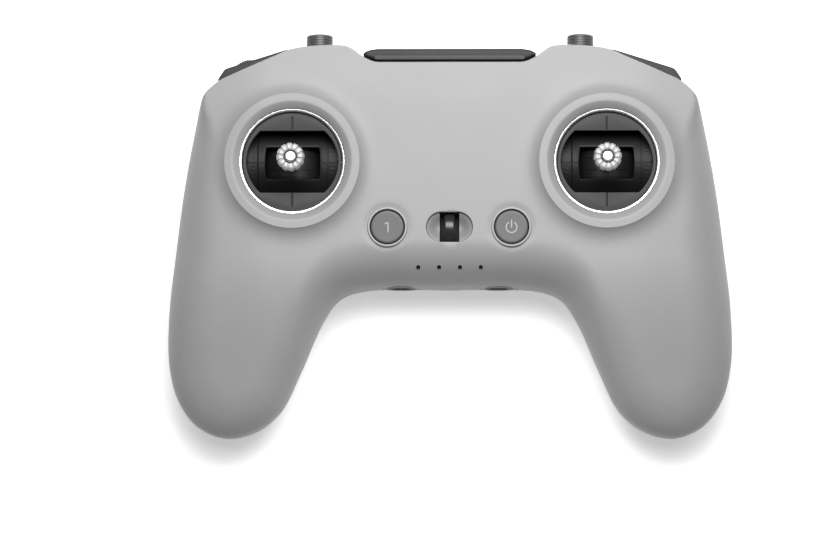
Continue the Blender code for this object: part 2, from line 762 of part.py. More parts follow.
def make_switch(side, label):
    x = side * SWITCH_X
    depth = KNOB_END_Y - KNOB_Y
    profile = [(0, depth), (3.6, depth), (KNOB_R, depth - 0.8)]
    for ring in range(3):
        groove = depth - 1.7 - ring * 1.3
        profile += [(KNOB_R, groove), (KNOB_R - 0.25, groove - 0.3), (KNOB_R, groove - 0.6)]
    profile += [(KNOB_R, 0.4), (KNOB_R - 0.4, 0), (1.9, 0), (1.9, 4.0), (0, 4.0)]
    turned(f"switch_knob_{label}", profile, (x, KNOB_Y, SWITCH_Z), (0, 1, 0), "dark", 20)
    reach = KNOB_Y + 3.4 - SWITCH_PIVOT_Y
    ball = [(0, reach), (1.5, reach), (1.5, 2.6), (2.6, 1.5), (3.0, 0), (2.6, -1.5), (1.5, -2.6), (0, -3.0)]
    turned(f"switch_lever_{label}", ball, (x, SWITCH_PIVOT_Y, SWITCH_Z), (0, 1, 0), "steel", 12)
    housing = box(f"switch_housing_{label}", (11.0, 8.4, 14.0), (x, 53.4, SWITCH_Z), "black")
    cut(housing, box(f"housing_inside_{label}", (7.4, 9.0, 10.6), (x, 55.4, SWITCH_Z)))


def make_trim(side, label):
    outline = mirrored(trim_outline(), side)
    trim = plate(f"shoulder_trim_{label}", outline, TRIM_LOW, TRIM_HIGH, "dark", bevel=0.5)
    return trim


def shoulder_button(name, trim, side, at, length, width):
    """A pill-shaped button that slides in a hole through its trim."""
    normal = shoulder_normal()
    axis = Vector((side * normal.x, normal.y, 0))
    heading = math.atan2(axis.y, axis.x) + math.pi / 2
    place = on_shoulder(side, at, 1.6)
    key = plate(name, pill((0, 0), length, width), -2.2, 2.4, "dark", bevel=0.3)
    hole = plate(f"{name}_hole", pill((0, 0), length + 2 * GAP, width + 2 * GAP), -12.0, 12.0)
    turn = Matrix.Rotation(heading, 4, "Z") @ Matrix.Rotation(-math.pi / 2, 4, "X")
    for made in (key, hole):
        made.location = Vector((place.x, place.y, SHOULDER_Z)) * MM
        made.rotation_euler = turn.to_euler()
    cut(trim, hole)


def make_shoulders():
    right = make_trim(1, "right")
    shoulder_button("start_stop_button", right, 1, 4.2, 5.2, 5.19)
    shoulder_button("record_button", right, 1, 15.2, 10.0, 7.0)
    left = make_trim(-1, "left")
    shoulder_button("pause_button", left, -1, 4.2, 5.2, 5.19)
    make_dial(left)


def make_dial(trim):
    spot = on_shoulder(-1, DIAL_AT, DIAL_INSET)
    outline = []
    for step in range(2 * DIAL_TEETH):
        angle = math.pi * step / DIAL_TEETH
        radius = DIAL_R - 0.35 * (step % 2)
        outline.append((radius * math.cos(angle), radius * math.sin(angle)))
    dial = plate("gimbal_dial", outline, -2.5, 2.5, "black")
    dial.location = Vector((spot.x, spot.y, SHOULDER_Z)) * MM
    place = (spot.x, spot.y, SHOULDER_Z)
    cut(dial, rod("dial_bore", 1.5, 8.0, place, sides=16))
    cut(trim, rod("dial_slot", DIAL_R + 0.5, 6.0, place, sides=24))
    cut(trim, rod("axle_hole", AXLE_R + GAP, 30.0, place, sides=12))
    rod("dial_axle", AXLE_R, 12.0, place, finish="steel", sides=12)


# ---------------------------------------------------------------- board, battery and bottom edge

def make_inside():
    board = box("main_board", (66.0, 48.0, BOARD_T), (0, 13.0, BOARD_Z + BOARD_T / 2), "board")
    cut(board, box("board_notch", (16.0, 6.0, 6.0), (0, 38.0, BOARD_Z)))
    for y, label in zip(CELL_YS, ("lower", "upper")):
        half = CELL_L / 2
        radius = CELL_R - GAP
        profile = [
            (0, half), (2.6, half), (2.6, half - 0.8), (radius - 0.6, half - 0.8),
            (radius, half - 1.4), (radius, -half + 0.5), (radius - 0.5, -half), (0, -half),
        ]
        turned(f"battery_cell_{label}", profile, (0, y, CELL_Z), (1, 0, 0), "cell", 24)
    tray = box("battery_tray", (67.4, 38.6, 6.2), (0, 19.0, 8.2), "black")
    for y, label in zip(CELL_YS, ("lower", "upper")):
        cut(tray, rod(f"trough_{label}", CELL_R, CELL_L + 1.0, (0, y, CELL_Z), (1, 0, 0), sides=24))
    for side, label in ((-1, "left"), (1, "right")):
        box(f"antenna_board_{label}", (13.0, 1.0, 16.0), (side * 13.0, 53.0, 19.5), "board")
        bore = SLEEVE_DEEP - 1.4
        profile = [
            (0, -bore), (SLEEVE_BORE_R, -bore), (SLEEVE_BORE_R, 0.0), (SLEEVE_R - 0.3, 0.0),
            (SLEEVE_R, -0.3), (SLEEVE_R, -SLEEVE_DEEP), (0, -SLEEVE_DEEP),
        ]
        turned(f"stick_sleeve_{label}", profile, (side * SLEEVE_X, -17.4, PART_Z), (0, -1, 0), "rubber", 20)
    make_port()


def make_port():
    """The USB inlet: a shell with a tongue in it."""
    port = plate("usb_c_port", pill((0, 0), PORT_L, PORT_W), -3.6, 3.6, "steel")
    throat = plate("usb_throat", pill((0, 0), PORT_L - 0.6, PORT_W - 0.6), -2.6, 6.0)
    for made in (port, throat):
        stand_up(made, (0, -13.4, PORT_Z), 0.0)
    cut(port, throat)
    join(port, box("usb_tongue", (6.6, 5.0, 0.7), (0, -12.6, PORT_Z)))


def main():
    front = make_front_shell()
    back = make_back_shell()
    cut_sides(front, back)
    make_antenna_cover()
    make_pads()
    make_screws()
    for side, label in ((-1, "left"), (1, "right")):
        make_gimbal(side, label)
        make_switch(side, label)
    make_front_buttons()
    make_recess()
    make_lights()
    make_shoulders()
    make_inside()


clear_scene()
MATERIALS = {name: material(name) for name in COLOURS}
PARTS = new_collection("transmitter_controller")
CUTTERS = new_collection("cutters")
main()
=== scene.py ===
"""Looks for the radio transmitter controller: fine shells, gimbals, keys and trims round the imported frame."""

from math import asin, atan2, ceil, cos, hypot, pi, radians, sin, sqrt, tau

import bmesh
import bpy
import numpy as np
from mathutils import Matrix, Vector
from mathutils.geometry import delaunay_2d_cdt
from mathutils.kdtree import KDTree


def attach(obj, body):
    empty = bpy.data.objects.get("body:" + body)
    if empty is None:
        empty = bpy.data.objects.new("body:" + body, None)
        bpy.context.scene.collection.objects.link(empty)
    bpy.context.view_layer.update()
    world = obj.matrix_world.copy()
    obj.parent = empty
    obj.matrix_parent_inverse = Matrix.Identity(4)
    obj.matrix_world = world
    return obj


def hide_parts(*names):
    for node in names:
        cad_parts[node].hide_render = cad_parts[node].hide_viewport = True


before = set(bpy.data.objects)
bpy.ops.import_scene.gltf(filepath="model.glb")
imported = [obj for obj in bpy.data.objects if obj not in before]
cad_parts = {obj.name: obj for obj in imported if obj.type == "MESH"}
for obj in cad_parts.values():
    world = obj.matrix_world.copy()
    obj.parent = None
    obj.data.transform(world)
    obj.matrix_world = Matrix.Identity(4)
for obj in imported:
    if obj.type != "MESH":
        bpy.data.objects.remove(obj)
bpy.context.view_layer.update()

MM = 0.001
SIDES = ((-1, "left"), (1, "right"))
ENDS = ((-1, "a"), (1, "b"))

# Casing, in millimetres. Its box is the CAD's, and its edges are finer.
GAP = 0.3
WALL = 2.0
PART_Z = 17.0
FACE_Z = 36.0
BACK_Z = 1.3
FRONT_EDGE = 9.0
TOP_EDGE = 1.1
GRIP_EDGE = 16.0
BAR_EDGE = 17.0
FRONT_POWER = 2.3
BACK_EDGE = 16.0
BACK_POWER = 2.2
SEAM_ROUND = 0.3
OUTLINE_STEP = 1.6
NOTCH_Y = 58.6
HALF_OUTLINE = ((0.0, NOTCH_Y), (22.0, NOTCH_Y), (25.0, NOTCH_Y + 0.1), (29.2, 60.6), (34.0, 63.8), (44.0, 64.2),
                (54.2, 62.8), (58.5, 60.9), (74.0, 54.2), (78.1, 52.2), (82.7, 48.2), (84.0, 45.8), (86.7, 34.0),
                (90.0, 15.3), (92.6, -5.0), (94.8, -25.0), (94.8, -43.3), (91.6, -55.6), (85.0, -64.2),
                (75.3, -68.0), (65.0, -65.6), (57.0, -59.0), (50.2, -45.5), (43.0, -29.1), (37.6, -21.4),
                (30.0, -18.3), (0.0, -17.5))

# Gimbals and their collars.
GIMBAL_X = 52.8
GIMBAL_Y = 24.2
PIVOT_Z = 16.0
WELL_R = 17.75
BAND_IN_R = 19.95
BAND_OUT_R = 22.7
BAND_RISE = 2.3
DISH_END_R = 34.0
DISH_POWER = 5.2
COVER_R = 16.66
COVER_TOP = 34.3
APERTURE_R = 13.8
APERTURE_SHIFT = 1.6
APERTURE_HALF_Y = 10.4
BARREL_R = 15.0
BARREL_WALL = 1.3
BARREL_HALF_X = 15.3
INNER_R = 11.8
INNER_HALF_Y = 5.9
WINDOW_X = 18.7
WINDOW_Y = 11.3
WINDOW_LIP = 0.12
MARK_W = 0.7
MARK_DEPTH = 0.16
MARK_END = 15.3
POST_R = 1.9
TIP_BOTTOM = 43.0
TIP_R = 4.65
PETALS = 12

# Front row and lights.
BUTTON_X = 20.8
FRONT_ROW_Y = 2.0
BUTTON_R = 5.65
BUTTON_HOLE_R = 5.92
KEY_TOP = 36.3
RIM_R = 6.25
RIM_RISE = 0.5
MOAT = 0.35
MOAT_R = 8.8
RECESS_L = 15.5
RECESS_W = 10.1
LIGHT_Y = -11.3
LIGHT_XS = (-10.5, -3.5, 3.5, 10.5)
LIGHT_HOLE_R = 0.7
LIGHT_TOP = 31.3
BAR_W = 3.64

# Top edge and shoulders.
SWITCH_X = 44.2
SWITCH_PIVOT_Y = 54.5
SWITCH_Z = 19.0
KNOB_R = 4.5
KNOB_Y = 61.0
KNOB_END_Y = 69.0
TRIM_A = Vector((54.4, 63.4))
TRIM_B = Vector((76.0, 56.6))
TRIM_END = Vector((78.6, 52.6))
TRIM_LOW = 11.0
TRIM_HIGH = 27.0
TRIM_DEPTH = 3.6
SHOULDER_Z = 19.0
KEY_INSET = 1.6
DIAL_R = 6.5
DIAL_AT = 15.5
DIAL_INSET = 4.9

# Bottom edge and back.
SLEEVE_X = 16.5
SLEEVE_R = 6.2
SLEEVE_BORE_R = 4.9
SLEEVE_DEEP = 14.0
PAD_TOP = 1.7
PAD_ENDS = ((52.0, 34.0), (74.5, -42.0))
PAD_HALF_W = 9.5
TREAD_STEP = 3.2
PORT_L = 8.9
PORT_W = 3.3
PORT_Z = 11.0
SCREW_SPOTS = ((79.0, 13.0), (27.0, 47.5), (66.0, -55.0))


# ---- materials


def feed(tree, node, inputs):
    """Links each named input of a node to a socket, or gives it a value."""
    for name, value in inputs.items():
        if isinstance(value, bpy.types.NodeSocket):
            tree.links.new(value, node.inputs[name])
        else:
            node.inputs[name].default_value = value


def noise(tree, scale, detail, roughness=0.5):
    place = tree.nodes.new("ShaderNodeTexCoord").outputs["Object"]
    made = tree.nodes.new("ShaderNodeTexNoise")
    feed(tree, made, {"Vector": place, "Scale": scale, "Detail": detail, "Roughness": roughness})
    return made.outputs["Fac"]


def new_material(name):
    made = bpy.data.materials.new(name)
    made.use_nodes = True
    return made, made.node_tree, made.node_tree.nodes["Principled BSDF"]


def finish_material(tree, shader, tone, ends, colours, polish, rough, height, strength, depth):
    """Gives the shader a colour ramp over tone, a roughness range over polish and a bump over height."""
    ramp = tree.nodes.new("ShaderNodeValToRGB")
    for element, position, colour in zip(ramp.color_ramp.elements, ends, colours):
        element.position, element.color = position, (*colour, 1)
    feed(tree, ramp, {"Fac": tone})
    gloss = tree.nodes.new("ShaderNodeMapRange")
    feed(tree, gloss, {"Value": polish, "To Min": max(0.02, rough[0]), "To Max": rough[1]})
    feed(tree, shader, {"Base Color": ramp.outputs["Color"], "Roughness": gloss.outputs["Result"]})
    if strength:
        bump = tree.nodes.new("ShaderNodeBump")
        feed(tree, bump, {"Strength": strength, "Distance": depth * MM, "Height": height})
        feed(tree, shader, {"Normal": bump.outputs["Normal"]})


def plastic(name, colour, rough, grain=0.0, grain_size=0.35, mottle=0.03, specular=0.5):
    """Moulded plastic: a fine grain in the bump, slow colour and roughness drift, all in object space."""
    colour = colour if isinstance(colour, tuple) else (colour,) * 3
    made, tree, shader = new_material(name)
    feed(tree, shader, {"Specular IOR Level": specular})
    drift = noise(tree, 60.0, 4.0)
    speck = noise(tree, 1.0 / (grain_size * MM), 3.0, 0.6)
    both = tree.nodes.new("ShaderNodeMath")
    both.operation = "MULTIPLY_ADD"
    feed(tree, both, {0: drift, 1: 0.5, 2: speck})
    colours = [[min(1.0, c * (1 + change)) for c in colour] for change in (-mottle, mottle)]
    finish_material(tree, shader, both.outputs[0], (0.45, 1.0), colours, drift, (rough - 0.06, rough + 0.06),
                    speck, grain, 0.05)
    return made


def metal(name, colour, rough, streak=0.0):
    """Turned or machined metal with fine uneven polish."""
    made, tree, shader = new_material(name)
    feed(tree, shader, {"Metallic": 1.0})
    grain = noise(tree, 5000.0, 2.0)
    finish_material(tree, shader, grain, (0.0, 1.0), ([c * 0.93 for c in colour], colour), grain,
                    (rough - 0.05, rough + 0.08), grain, streak, 0.03)
    return made


SHELL = plastic("shell_plastic", 0.272, 0.5, grain=0.35, grain_size=0.45, mottle=0.05)
# Lighter copy of the shell plastic for the key rims: a painted highlight where the raised rims catch the light.
HIGHLIGHT_BEZEL = plastic("bezel_painted_highlight", 0.36, 0.45, grain=0.1, mottle=0.03)
# Darker copy of the shell plastic for the lanyard cup's scoops: painted shade in the recess.
SHADED_SCOOP = plastic("scoop_painted_shade", 0.23, 0.5, grain=0.2, grain_size=0.45, mottle=0.05)
DARK = plastic("dark_plastic", 0.02, 0.5, specular=0.25, grain=0.25, grain_size=0.3, mottle=0.12)
DISC = plastic("disc_plastic", 0.022, 0.5, specular=0.3, grain=0.3, grain_size=0.3, mottle=0.1)
KEY = plastic("key_plastic", (0.08, 0.08, 0.081), 0.42, specular=0.4, grain=0.25, grain_size=0.3, mottle=0.08)
BLACK = plastic("black_plastic", 0.008, 0.5, specular=0.2, grain=0.4, grain_size=0.3, mottle=0.3)
GLOSSY = plastic("glossy_plastic", (0.02, 0.02, 0.021), 0.27, specular=0.4, mottle=0.1)
GLYPH = plastic("glyph_ink", 0.34, 0.45, mottle=0.04)
# Darker than the disc, on the cut faces of the sight grooves: painted shade in the grooves.
GROOVE_SHADE = plastic("mark_groove_painted_shade", 0.014, 0.6, specular=0.2, mottle=0.1)
# Lighter copy of the dark plastic for the antenna strip's step: a painted highlight.
STEP_HIGHLIGHT = plastic("step_painted_highlight", 0.045, 0.5, specular=0.25, grain=0.25, grain_size=0.3, mottle=0.1)
RUBBER = plastic("rubber", (0.05, 0.05, 0.052), 0.75, grain=0.6, grain_size=0.5, mottle=0.15)
BOARD = plastic("circuit_board", (0.015, 0.12, 0.05), 0.35, mottle=0.25)
CELL = plastic("cell_wrap", (0.08, 0.25, 0.4), 0.3, mottle=0.08)
MILKY = plastic("milky_light", (0.6, 0.62, 0.6), 0.35, mottle=0.05)
STEEL = metal("steel", (0.55, 0.55, 0.56), 0.3, streak=0.3)
BRIGHT = metal("bright_aluminium", (0.93, 0.93, 0.93), 0.3)
KNOB = plastic("knob_plastic", 0.07, 0.4, grain=0.2, grain_size=0.3, mottle=0.1)
CROWN = metal("crown_aluminium", (0.6, 0.6, 0.6), 0.7, streak=0.2)
LENS = plastic("smoked_lens", (0.015, 0.015, 0.017), 0.45, specular=0.2)
CONTACT = metal("gold_contact", (0.75, 0.55, 0.25), 0.3)


# ---- mesh helpers

def new_object(name, data):
    made = bpy.data.objects.new(name, data)
    bpy.context.scene.collection.objects.link(made)
    return made


def shade(made, sharp):
    made.data.shade_smooth()
    made.data.set_sharp_from_angle(angle=radians(sharp))
    return made


def finish_object(name, bm, surface, sharp=35.0):
    """An object from a bmesh: smooth, with crisp edges over the sharp angle."""
    bmesh.ops.recalc_face_normals(bm, faces=bm.faces)
    mesh = bpy.data.meshes.new(name)
    bm.to_mesh(mesh)
    bm.free()
    mesh.materials.append(surface)
    return shade(new_object(name, mesh), sharp)


def dress(made, body, slot, *nodes, at=(0, 0, 0), turn=None):
    """Puts the piece in its place. It moves with its body and stands for the CAD nodes; slot is not used."""
    put(made, at, turn)
    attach(made, body)
    if nodes:
        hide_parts(*nodes)


def circle(radius, count, centre=(0.0, 0.0)):
    angles = np.arange(count) * tau / count
    return np.stack([centre[0] + radius * np.cos(angles), centre[1] + radius * np.sin(angles)], axis=1)


def arc(centre, radius, start, end, count):
    angles = [start + (end - start) * step / (count - 1) for step in range(count)]
    return [(centre[0] + radius * cos(a), centre[1] + radius * sin(a)) for a in angles]


def pill(centre, length, width, count=24):
    reach = (length - width) / 2
    if reach < 0.02:
        return circle(length / 2, 2 * count, centre)
    right = arc((centre[0] + reach, centre[1]), width / 2, -pi / 2, pi / 2, count)
    left = arc((centre[0] - reach, centre[1]), width / 2, pi / 2, 3 * pi / 2, count)
    return right + left


# ---- the casing's outline and heights

def spline(points, step):
    """A centripetal Catmull-Rom curve through the points, in pieces about one step long."""
    points = [Vector(p) for p in points]
    ends = [2 * points[0] - points[1], *points, 2 * points[-1] - points[-2]]
    path = []
    for a, b, c, d in zip(ends, ends[1:], ends[2:], ends[3:]):
        k0, k1 = 0.0, sqrt((b - a).length)
        k2 = k1 + sqrt((c - b).length)
        k3 = k2 + sqrt((d - c).length)
        pieces = max(2, round((c - b).length / step))
        for piece in range(pieces):
            t = k1 + (k2 - k1) * piece / pieces
            ab = a.lerp(b, (t - k0) / (k1 - k0))
            bc = b.lerp(c, (t - k1) / (k2 - k1))
            cd = c.lerp(d, (t - k2) / (k3 - k2))
            first = ab.lerp(bc, (t - k0) / (k2 - k0))
            second = bc.lerp(cd, (t - k1) / (k3 - k1))
            path.append(first.lerp(second, (t - k1) / (k2 - k1)))
    return [*path, points[-1]]


def casing_outline():
    right = spline(HALF_OUTLINE, OUTLINE_STEP)
    left = [Vector((-p.x, p.y)) for p in reversed(right[1:-1])]
    return np.array([(p.x, p.y) for p in right + left])


OUTLINE = casing_outline()


def nearest_edge(points):
    """Distance to the outline and the unit vector away from it, in blocks to save memory."""
    start = OUTLINE
    run = np.roll(OUTLINE, -1, axis=0) - start
    length = (run * run).sum(-1)
    distance, away = [], []
    for block in np.array_split(np.asarray(points, float), max(1, len(points) // 4000)):
        along = ((block[:, None] - start) * run).sum(-1) / length
        offset = block[:, None] - (start + np.clip(along, 0, 1)[..., None] * run)
        squared = (offset ** 2).sum(-1)
        best = squared.argmin(1)
        found = np.sqrt(squared[np.arange(len(block)), best])
        distance.append(found)
        away.append(offset[np.arange(len(block)), best] / np.maximum(found, 1e-9)[:, None])
    return np.concatenate(distance), np.concatenate(away)


def outline_inward():
    run = np.roll(OUTLINE, -1, axis=0) - np.roll(OUTLINE, 1, axis=0)
    normal = np.stack([run[:, 1], -run[:, 0]], axis=1)
    return normal / np.linalg.norm(normal, axis=1)[:, None]


def within(points, polygon):
    """Even-odd test of each point against a closed polygon."""
    start = polygon
    end = np.roll(polygon, -1, axis=0)
    x, y = points[:, :1], points[:, 1:]
    spans = (start[:, 1] > y) != (end[:, 1] > y)
    rise = np.where(end[:, 1] == start[:, 1], 1.0, end[:, 1] - start[:, 1])
    crossing = start[:, 0] + (y - start[:, 1]) / rise * (end[:, 0] - start[:, 0])
    return ((spans & (x < crossing)).sum(1) % 2) == 1


def smooth(value):
    value = np.clip(value, 0.0, 1.0)
    return value * value * (3 - 2 * value)


def edge_profile(distance, width, power):
    rest = 1 - np.clip(distance / width, 0, 1)
    return (1 - rest ** power) ** (1 / power)


def front_edge(x, y):
    width = FRONT_EDGE + (TOP_EDGE - FRONT_EDGE) * smooth((y - 30) / 18)
    grip = smooth((np.abs(x) - 36) / 26) * smooth((34 - y) / 44)
    bar = smooth((14 - y) / 22) * smooth((62 - np.abs(x)) / 24)
    return width + np.maximum((GRIP_EDGE - FRONT_EDGE) * grip, (BAR_EDGE - FRONT_EDGE) * bar)


def plateau(x, y):
    grips = 7.5 * smooth((-y - 8) / 62)
    sides = 2.6 * smooth((np.abs(x) - 60) / 30)
    top = 0.6 * smooth((y - 44) / 20)
    return FACE_Z - grips - sides - top


def collar(radius):
    """Height over the plateau round a gimbal: inner slope, flat band, then a hollow that fades out."""
    slope = np.clip((BAND_IN_R - radius) / (BAND_IN_R - WELL_R), 0, 1)
    inner = -1.7 * slope ** 1.3 - 0.12 * smooth((BAND_IN_R + 0.25 - radius) / 0.5)
    out = np.clip((radius - BAND_OUT_R) / (DISH_END_R - BAND_OUT_R), 0, 1)
    fall = BAND_RISE * (1 - (1 - out) ** DISH_POWER)
    return BAND_RISE + inner - fall


def button_rim(radius):
    """The level ring round each front button: rounded inside, and a ramp that meets the face outside."""
    lip = np.clip((BUTTON_HOLE_R + 0.3 - radius) / 0.3, 0, 1)
    out = np.clip(radius - RIM_R, 0, None)
    return FACE_Z + RIM_RISE - 0.3 * (1 - np.sqrt(1 - lip * lip)) - 1.9 * out ** 1.35


def recess_lip(x, y):
    reach = (RECESS_L - RECESS_W) / 2
    beyond = np.hypot(np.maximum(np.abs(x) - reach, 0), y - FRONT_ROW_Y) - RECESS_W / 2
    lip = np.clip((0.3 - beyond) / 0.3, 0, 1)
    return -0.3 * (1 - np.sqrt(1 - lip * lip))


def face_height(x, y, distance):
    height = plateau(x, y) + collar(np.hypot(np.abs(x) - GIMBAL_X, y - GIMBAL_Y))
    height = height + recess_lip(x, y)
    base = PART_Z + GAP / 2 + SEAM_ROUND
    height = base + (height - base) * edge_profile(distance, front_edge(x, y), FRONT_POWER)
    radius = np.hypot(np.abs(x) - BUTTON_X, y - FRONT_ROW_Y)
    height = height - MOAT * smooth((MOAT_R - radius) / (MOAT_R - RIM_R))
    return np.maximum(height, button_rim(radius))


def face_inside(x, y, distance):
    base = PART_Z + GAP / 2
    return base + (plateau(x, y) - WALL - 0.5 - base) * edge_profile(distance - WALL, front_edge(x, y),
                                                                     FRONT_POWER)


def back_height(x, y, distance):
    base = PART_Z - GAP / 2 - SEAM_ROUND
    floor = BACK_Z + 1.2 * smooth((34 - np.abs(x)) / 12)
    return base - (base - floor) * edge_profile(distance, BACK_EDGE, BACK_POWER)


def back_inside(x, y, distance):
    base = PART_Z - GAP / 2
    return base - (base - BACK_Z - WALL - 0.4) * edge_profile(distance - WALL, BACK_EDGE, BACK_POWER)


# ---- the two shells

RING_DEPTHS = (0.03, 0.12, 0.3, 0.6, 1.0, 1.5, 2.1, 2.8, 3.6, 4.6, 5.7, 6.9)
SEAM_PATH = ((0.09, 0.09), (0.3, 0.0))
FRONT_GRID = 1.7
BACK_GRID = 2.4


def grid_points(step):
    rows = np.arange(-69.0, 65.0, step * 0.866)
    found = []
    for index, y in enumerate(rows):
        x = np.arange(-97.0, 97.0, step) + (step / 2 if index % 2 else 0.0)
        found.append(np.stack([x, np.full_like(x, y)], axis=1))
    return np.concatenate(found)


def apart(points, others, least):
    """The points that lie at least so far from every other point."""
    tree = plan_tree(others)
    return np.array([p for p in points if tree.find((p[0], p[1], 0.0))[2] >= least])


def plan_tree(points):
    tree = KDTree(len(points))
    for index, point in enumerate(points):
        tree.insert((point[0], point[1], 0.0), index)
    tree.balance()
    return tree


def triangulate(loops, groups, tolerance=1e-7):
    """Triangles inside the first plan loop and outside the others, over the points of the loops and groups.

    Returns the plan's points, the faces, each loop as indices of points, and each point's sources.
    """
    points = np.concatenate([*loops, *groups])
    starts = np.cumsum([0, *[len(loop) for loop in loops]])
    members = [list(range(start, end)) for start, end in zip(starts, starts[1:])]
    edges = [edge for ring in members[1:] for edge in zip(ring, ring[1:] + ring[:1])]
    corners, _, faces, sources, _, _ = delaunay_2d_cdt(
        [Vector(p) for p in points], edges, [members[0]], 1, tolerance
    )
    plan = np.array([(p.x, p.y) for p in corners])
    centres = plan[np.array(faces)].mean(axis=1)
    keep = np.ones(len(faces), bool)
    for loop in loops[1:]:
        keep &= ~within(centres, loop)
    place = {source: index for index, found in enumerate(sources) for source in found}
    rims = [[place[index] for index in ring] for ring in members]
    return plan, [face for face, kept in zip(faces, keep) if kept], rims, sources


def two_sides(faces, outer, inner):
    """A bmesh with each face twice: over the outer points, and turned round over the inner ones."""
    bm = bmesh.new()
    used = sorted({index for face in faces for index in face})
    outside, inside = ({index: bm.verts.new(side[index]) for index in used} for side in (outer, inner))
    for a, b, c in faces:
        bm.faces.new((outside[a], outside[b], outside[c]))
        bm.faces.new((inside[c], inside[b], inside[a]))
    return bm, outside, inside


def shell_object(name, outer, inner, down, loops, details, step):
    """A closed shell: outer(x, y, d) and inner(x, y, d) heights, a seam face at the parting plane and hole walls.

    down is 1 where the seam lies under the shell and -1 where it lies over it. loops are the holes' outlines.
    """
    normals = outline_inward()
    rings = [(depth, OUTLINE + normals * depth) for depth in RING_DEPTHS]
    groups = [ring[nearest_edge(ring)[0] > depth * 0.98] for depth, ring in rings]
    limit = RING_DEPTHS[-1]
    for group in details:
        groups.append(group[(nearest_edge(group)[0] > limit + 0.5) & within(group, OUTLINE)])
    grid = grid_points(step)
    grid = grid[within(grid, OUTLINE)]
    grid = grid[nearest_edge(grid)[0] > limit + step * 0.5]
    loops = [OUTLINE, *loops]
    groups.append(apart(grid, np.concatenate([*loops, *groups]), step * 0.62))
    plan, faces, rims, _ = triangulate(loops, groups, 1e-6)

    rim = rims[0]
    depth, away = nearest_edge(plan)
    depth[rim], away[rim] = 0.0, normals
    top = outer(plan[:, 0], plan[:, 1], depth)
    depth_in = depth + WALL * (1 - smooth(depth / 6.0))
    plan_in = plan + away * (depth_in - depth)[:, None]
    under = inner(plan_in[:, 0], plan_in[:, 1], depth_in)
    seam = PART_Z + down * GAP / 2
    under[rim] = seam
    bm, outside, inside = two_sides(faces, np.column_stack([plan, top]) * MM,
                                    np.column_stack([plan_in, under]) * MM)
    lines = [[outside[i] for i in rim]]
    for inset, lift in SEAM_PATH:
        ring = OUTLINE + normals * inset
        lines.append([bm.verts.new((x * MM, y * MM, (seam + down * lift) * MM)) for x, y in ring])
    bridge(bm, *lines, [inside[i] for i in rim])
    for loop in rims[1:]:
        bridge(bm, [outside[i] for i in loop], [inside[i] for i in loop])
    return finish_object(name, bm, SHELL, sharp=40)


def bridge(bm, *lines):
    """Quads between neighbouring closed loops of the same length."""
    for first, second in zip(lines, lines[1:]):
        for corners in zip(first, first[1:] + first[:1], second[1:] + second[:1], second):
            bm.faces.new(corners)


def pill_ring(grow, count=24):
    return np.array(pill((0, FRONT_ROW_Y), RECESS_L + 2 * grow, RECESS_W + 2 * grow, count))


def front_details():
    found = []
    for side, _ in SIDES:
        centre = (side * GIMBAL_X, GIMBAL_Y)
        for radius in (17.85, 18.3, 18.9, 19.5, 19.72, 19.95, 20.2, 20.9, 21.8, 22.45, 22.7, 22.8, 23.05,
                       23.5, 24.1, 24.9, 25.8, 26.8, 27.9, 29.1, 30.4):
            found.append(circle(radius, 128, centre))
        centre = (side * BUTTON_X, FRONT_ROW_Y)
        for radius in (5.98, 6.08, 6.22, 6.35, 6.5, 6.65, 6.8, 7.0, 7.3, 7.7, 8.2, 8.8):
            found.append(circle(radius, 64, centre))
    for grow in (0.03, 0.1, 0.2, 0.32, 0.6, 1.3):
        found.append(pill_ring(grow))
    for x in LIGHT_XS:
        for radius in (0.95, 1.4):
            found.append(circle(radius, 24, (x, LIGHT_Y)))
    return found


def make_front_shell():
    loops = [pill_ring(0.0)]
    for side, _ in SIDES:
        loops.append(circle(WELL_R, 128, (side * GIMBAL_X, GIMBAL_Y)))
        loops.append(circle(BUTTON_HOLE_R, 64, (side * BUTTON_X, FRONT_ROW_Y)))
    loops += [circle(LIGHT_HOLE_R, 24, (x, LIGHT_Y)) for x in LIGHT_XS]
    shell = shell_object("face_casing", face_height, face_inside, 1, loops, front_details(), FRONT_GRID)
    return carve(shell, [shell_tool(False)], sharp=30)


def make_back_shell():
    shell = shell_object("rear_casing", back_height, back_inside, -1, [], [], BACK_GRID)
    return carve(shell, [shell_tool(True)], sharp=30)


# ---- general builders

def soften(points, radius, steps=4, closed=True):
    """Rounds each corner of a polyline with a curve that starts radius before it."""
    points = [Vector(p) for p in points]
    count = len(points)
    path = []
    for index, corner in enumerate(points):
        if not closed and index in (0, count - 1):
            path.append(corner)
            continue
        before = points[index - 1] - corner
        after = points[(index + 1) % count] - corner
        reach = min(radius, before.length * 0.49, after.length * 0.49)
        start = corner + before.normalized() * reach
        end = corner + after.normalized() * reach
        for step in range(steps + 1):
            t = step / steps
            path.append(start.lerp(corner, t).lerp(corner.lerp(end, t), t))
    return path


def lathe(name, profile, surface, sides=96, closed=False, swell=None, sharp=35.0, soft=None):
    """Turns a (radius, height) profile about Z. soft, a (radius, steps) pair, rounds its corners first.

    swell(angle, radius, height) may move each point.
    """
    bm = bmesh.new()
    rings = []
    for radius, height in soften(profile, *soft, closed=closed) if soft else profile:
        if radius < 1e-6:
            rings.append([bm.verts.new((0, 0, height * MM))])
            continue
        ring = []
        for step in range(sides):
            angle = tau * step / sides
            r, h = swell(angle, radius, height) if swell else (radius, height)
            ring.append(bm.verts.new((r * cos(angle) * MM, r * sin(angle) * MM, h * MM)))
        rings.append(ring)
    for first, second in zip(rings, rings[1:] + (rings[:1] if closed else [])):
        if len(first) == 1 or len(second) == 1:
            tip, ring = (first[0], second) if len(first) == 1 else (second[0], first)
            for step in range(sides):
                bm.faces.new((tip, ring[step], ring[(step + 1) % sides]))
        else:
            bridge(bm, first, second)
    return finish_object(name, bm, surface, sharp)


def unit(vectors):
    return vectors / np.maximum(np.linalg.norm(vectors, axis=1)[:, None], 1e-9)


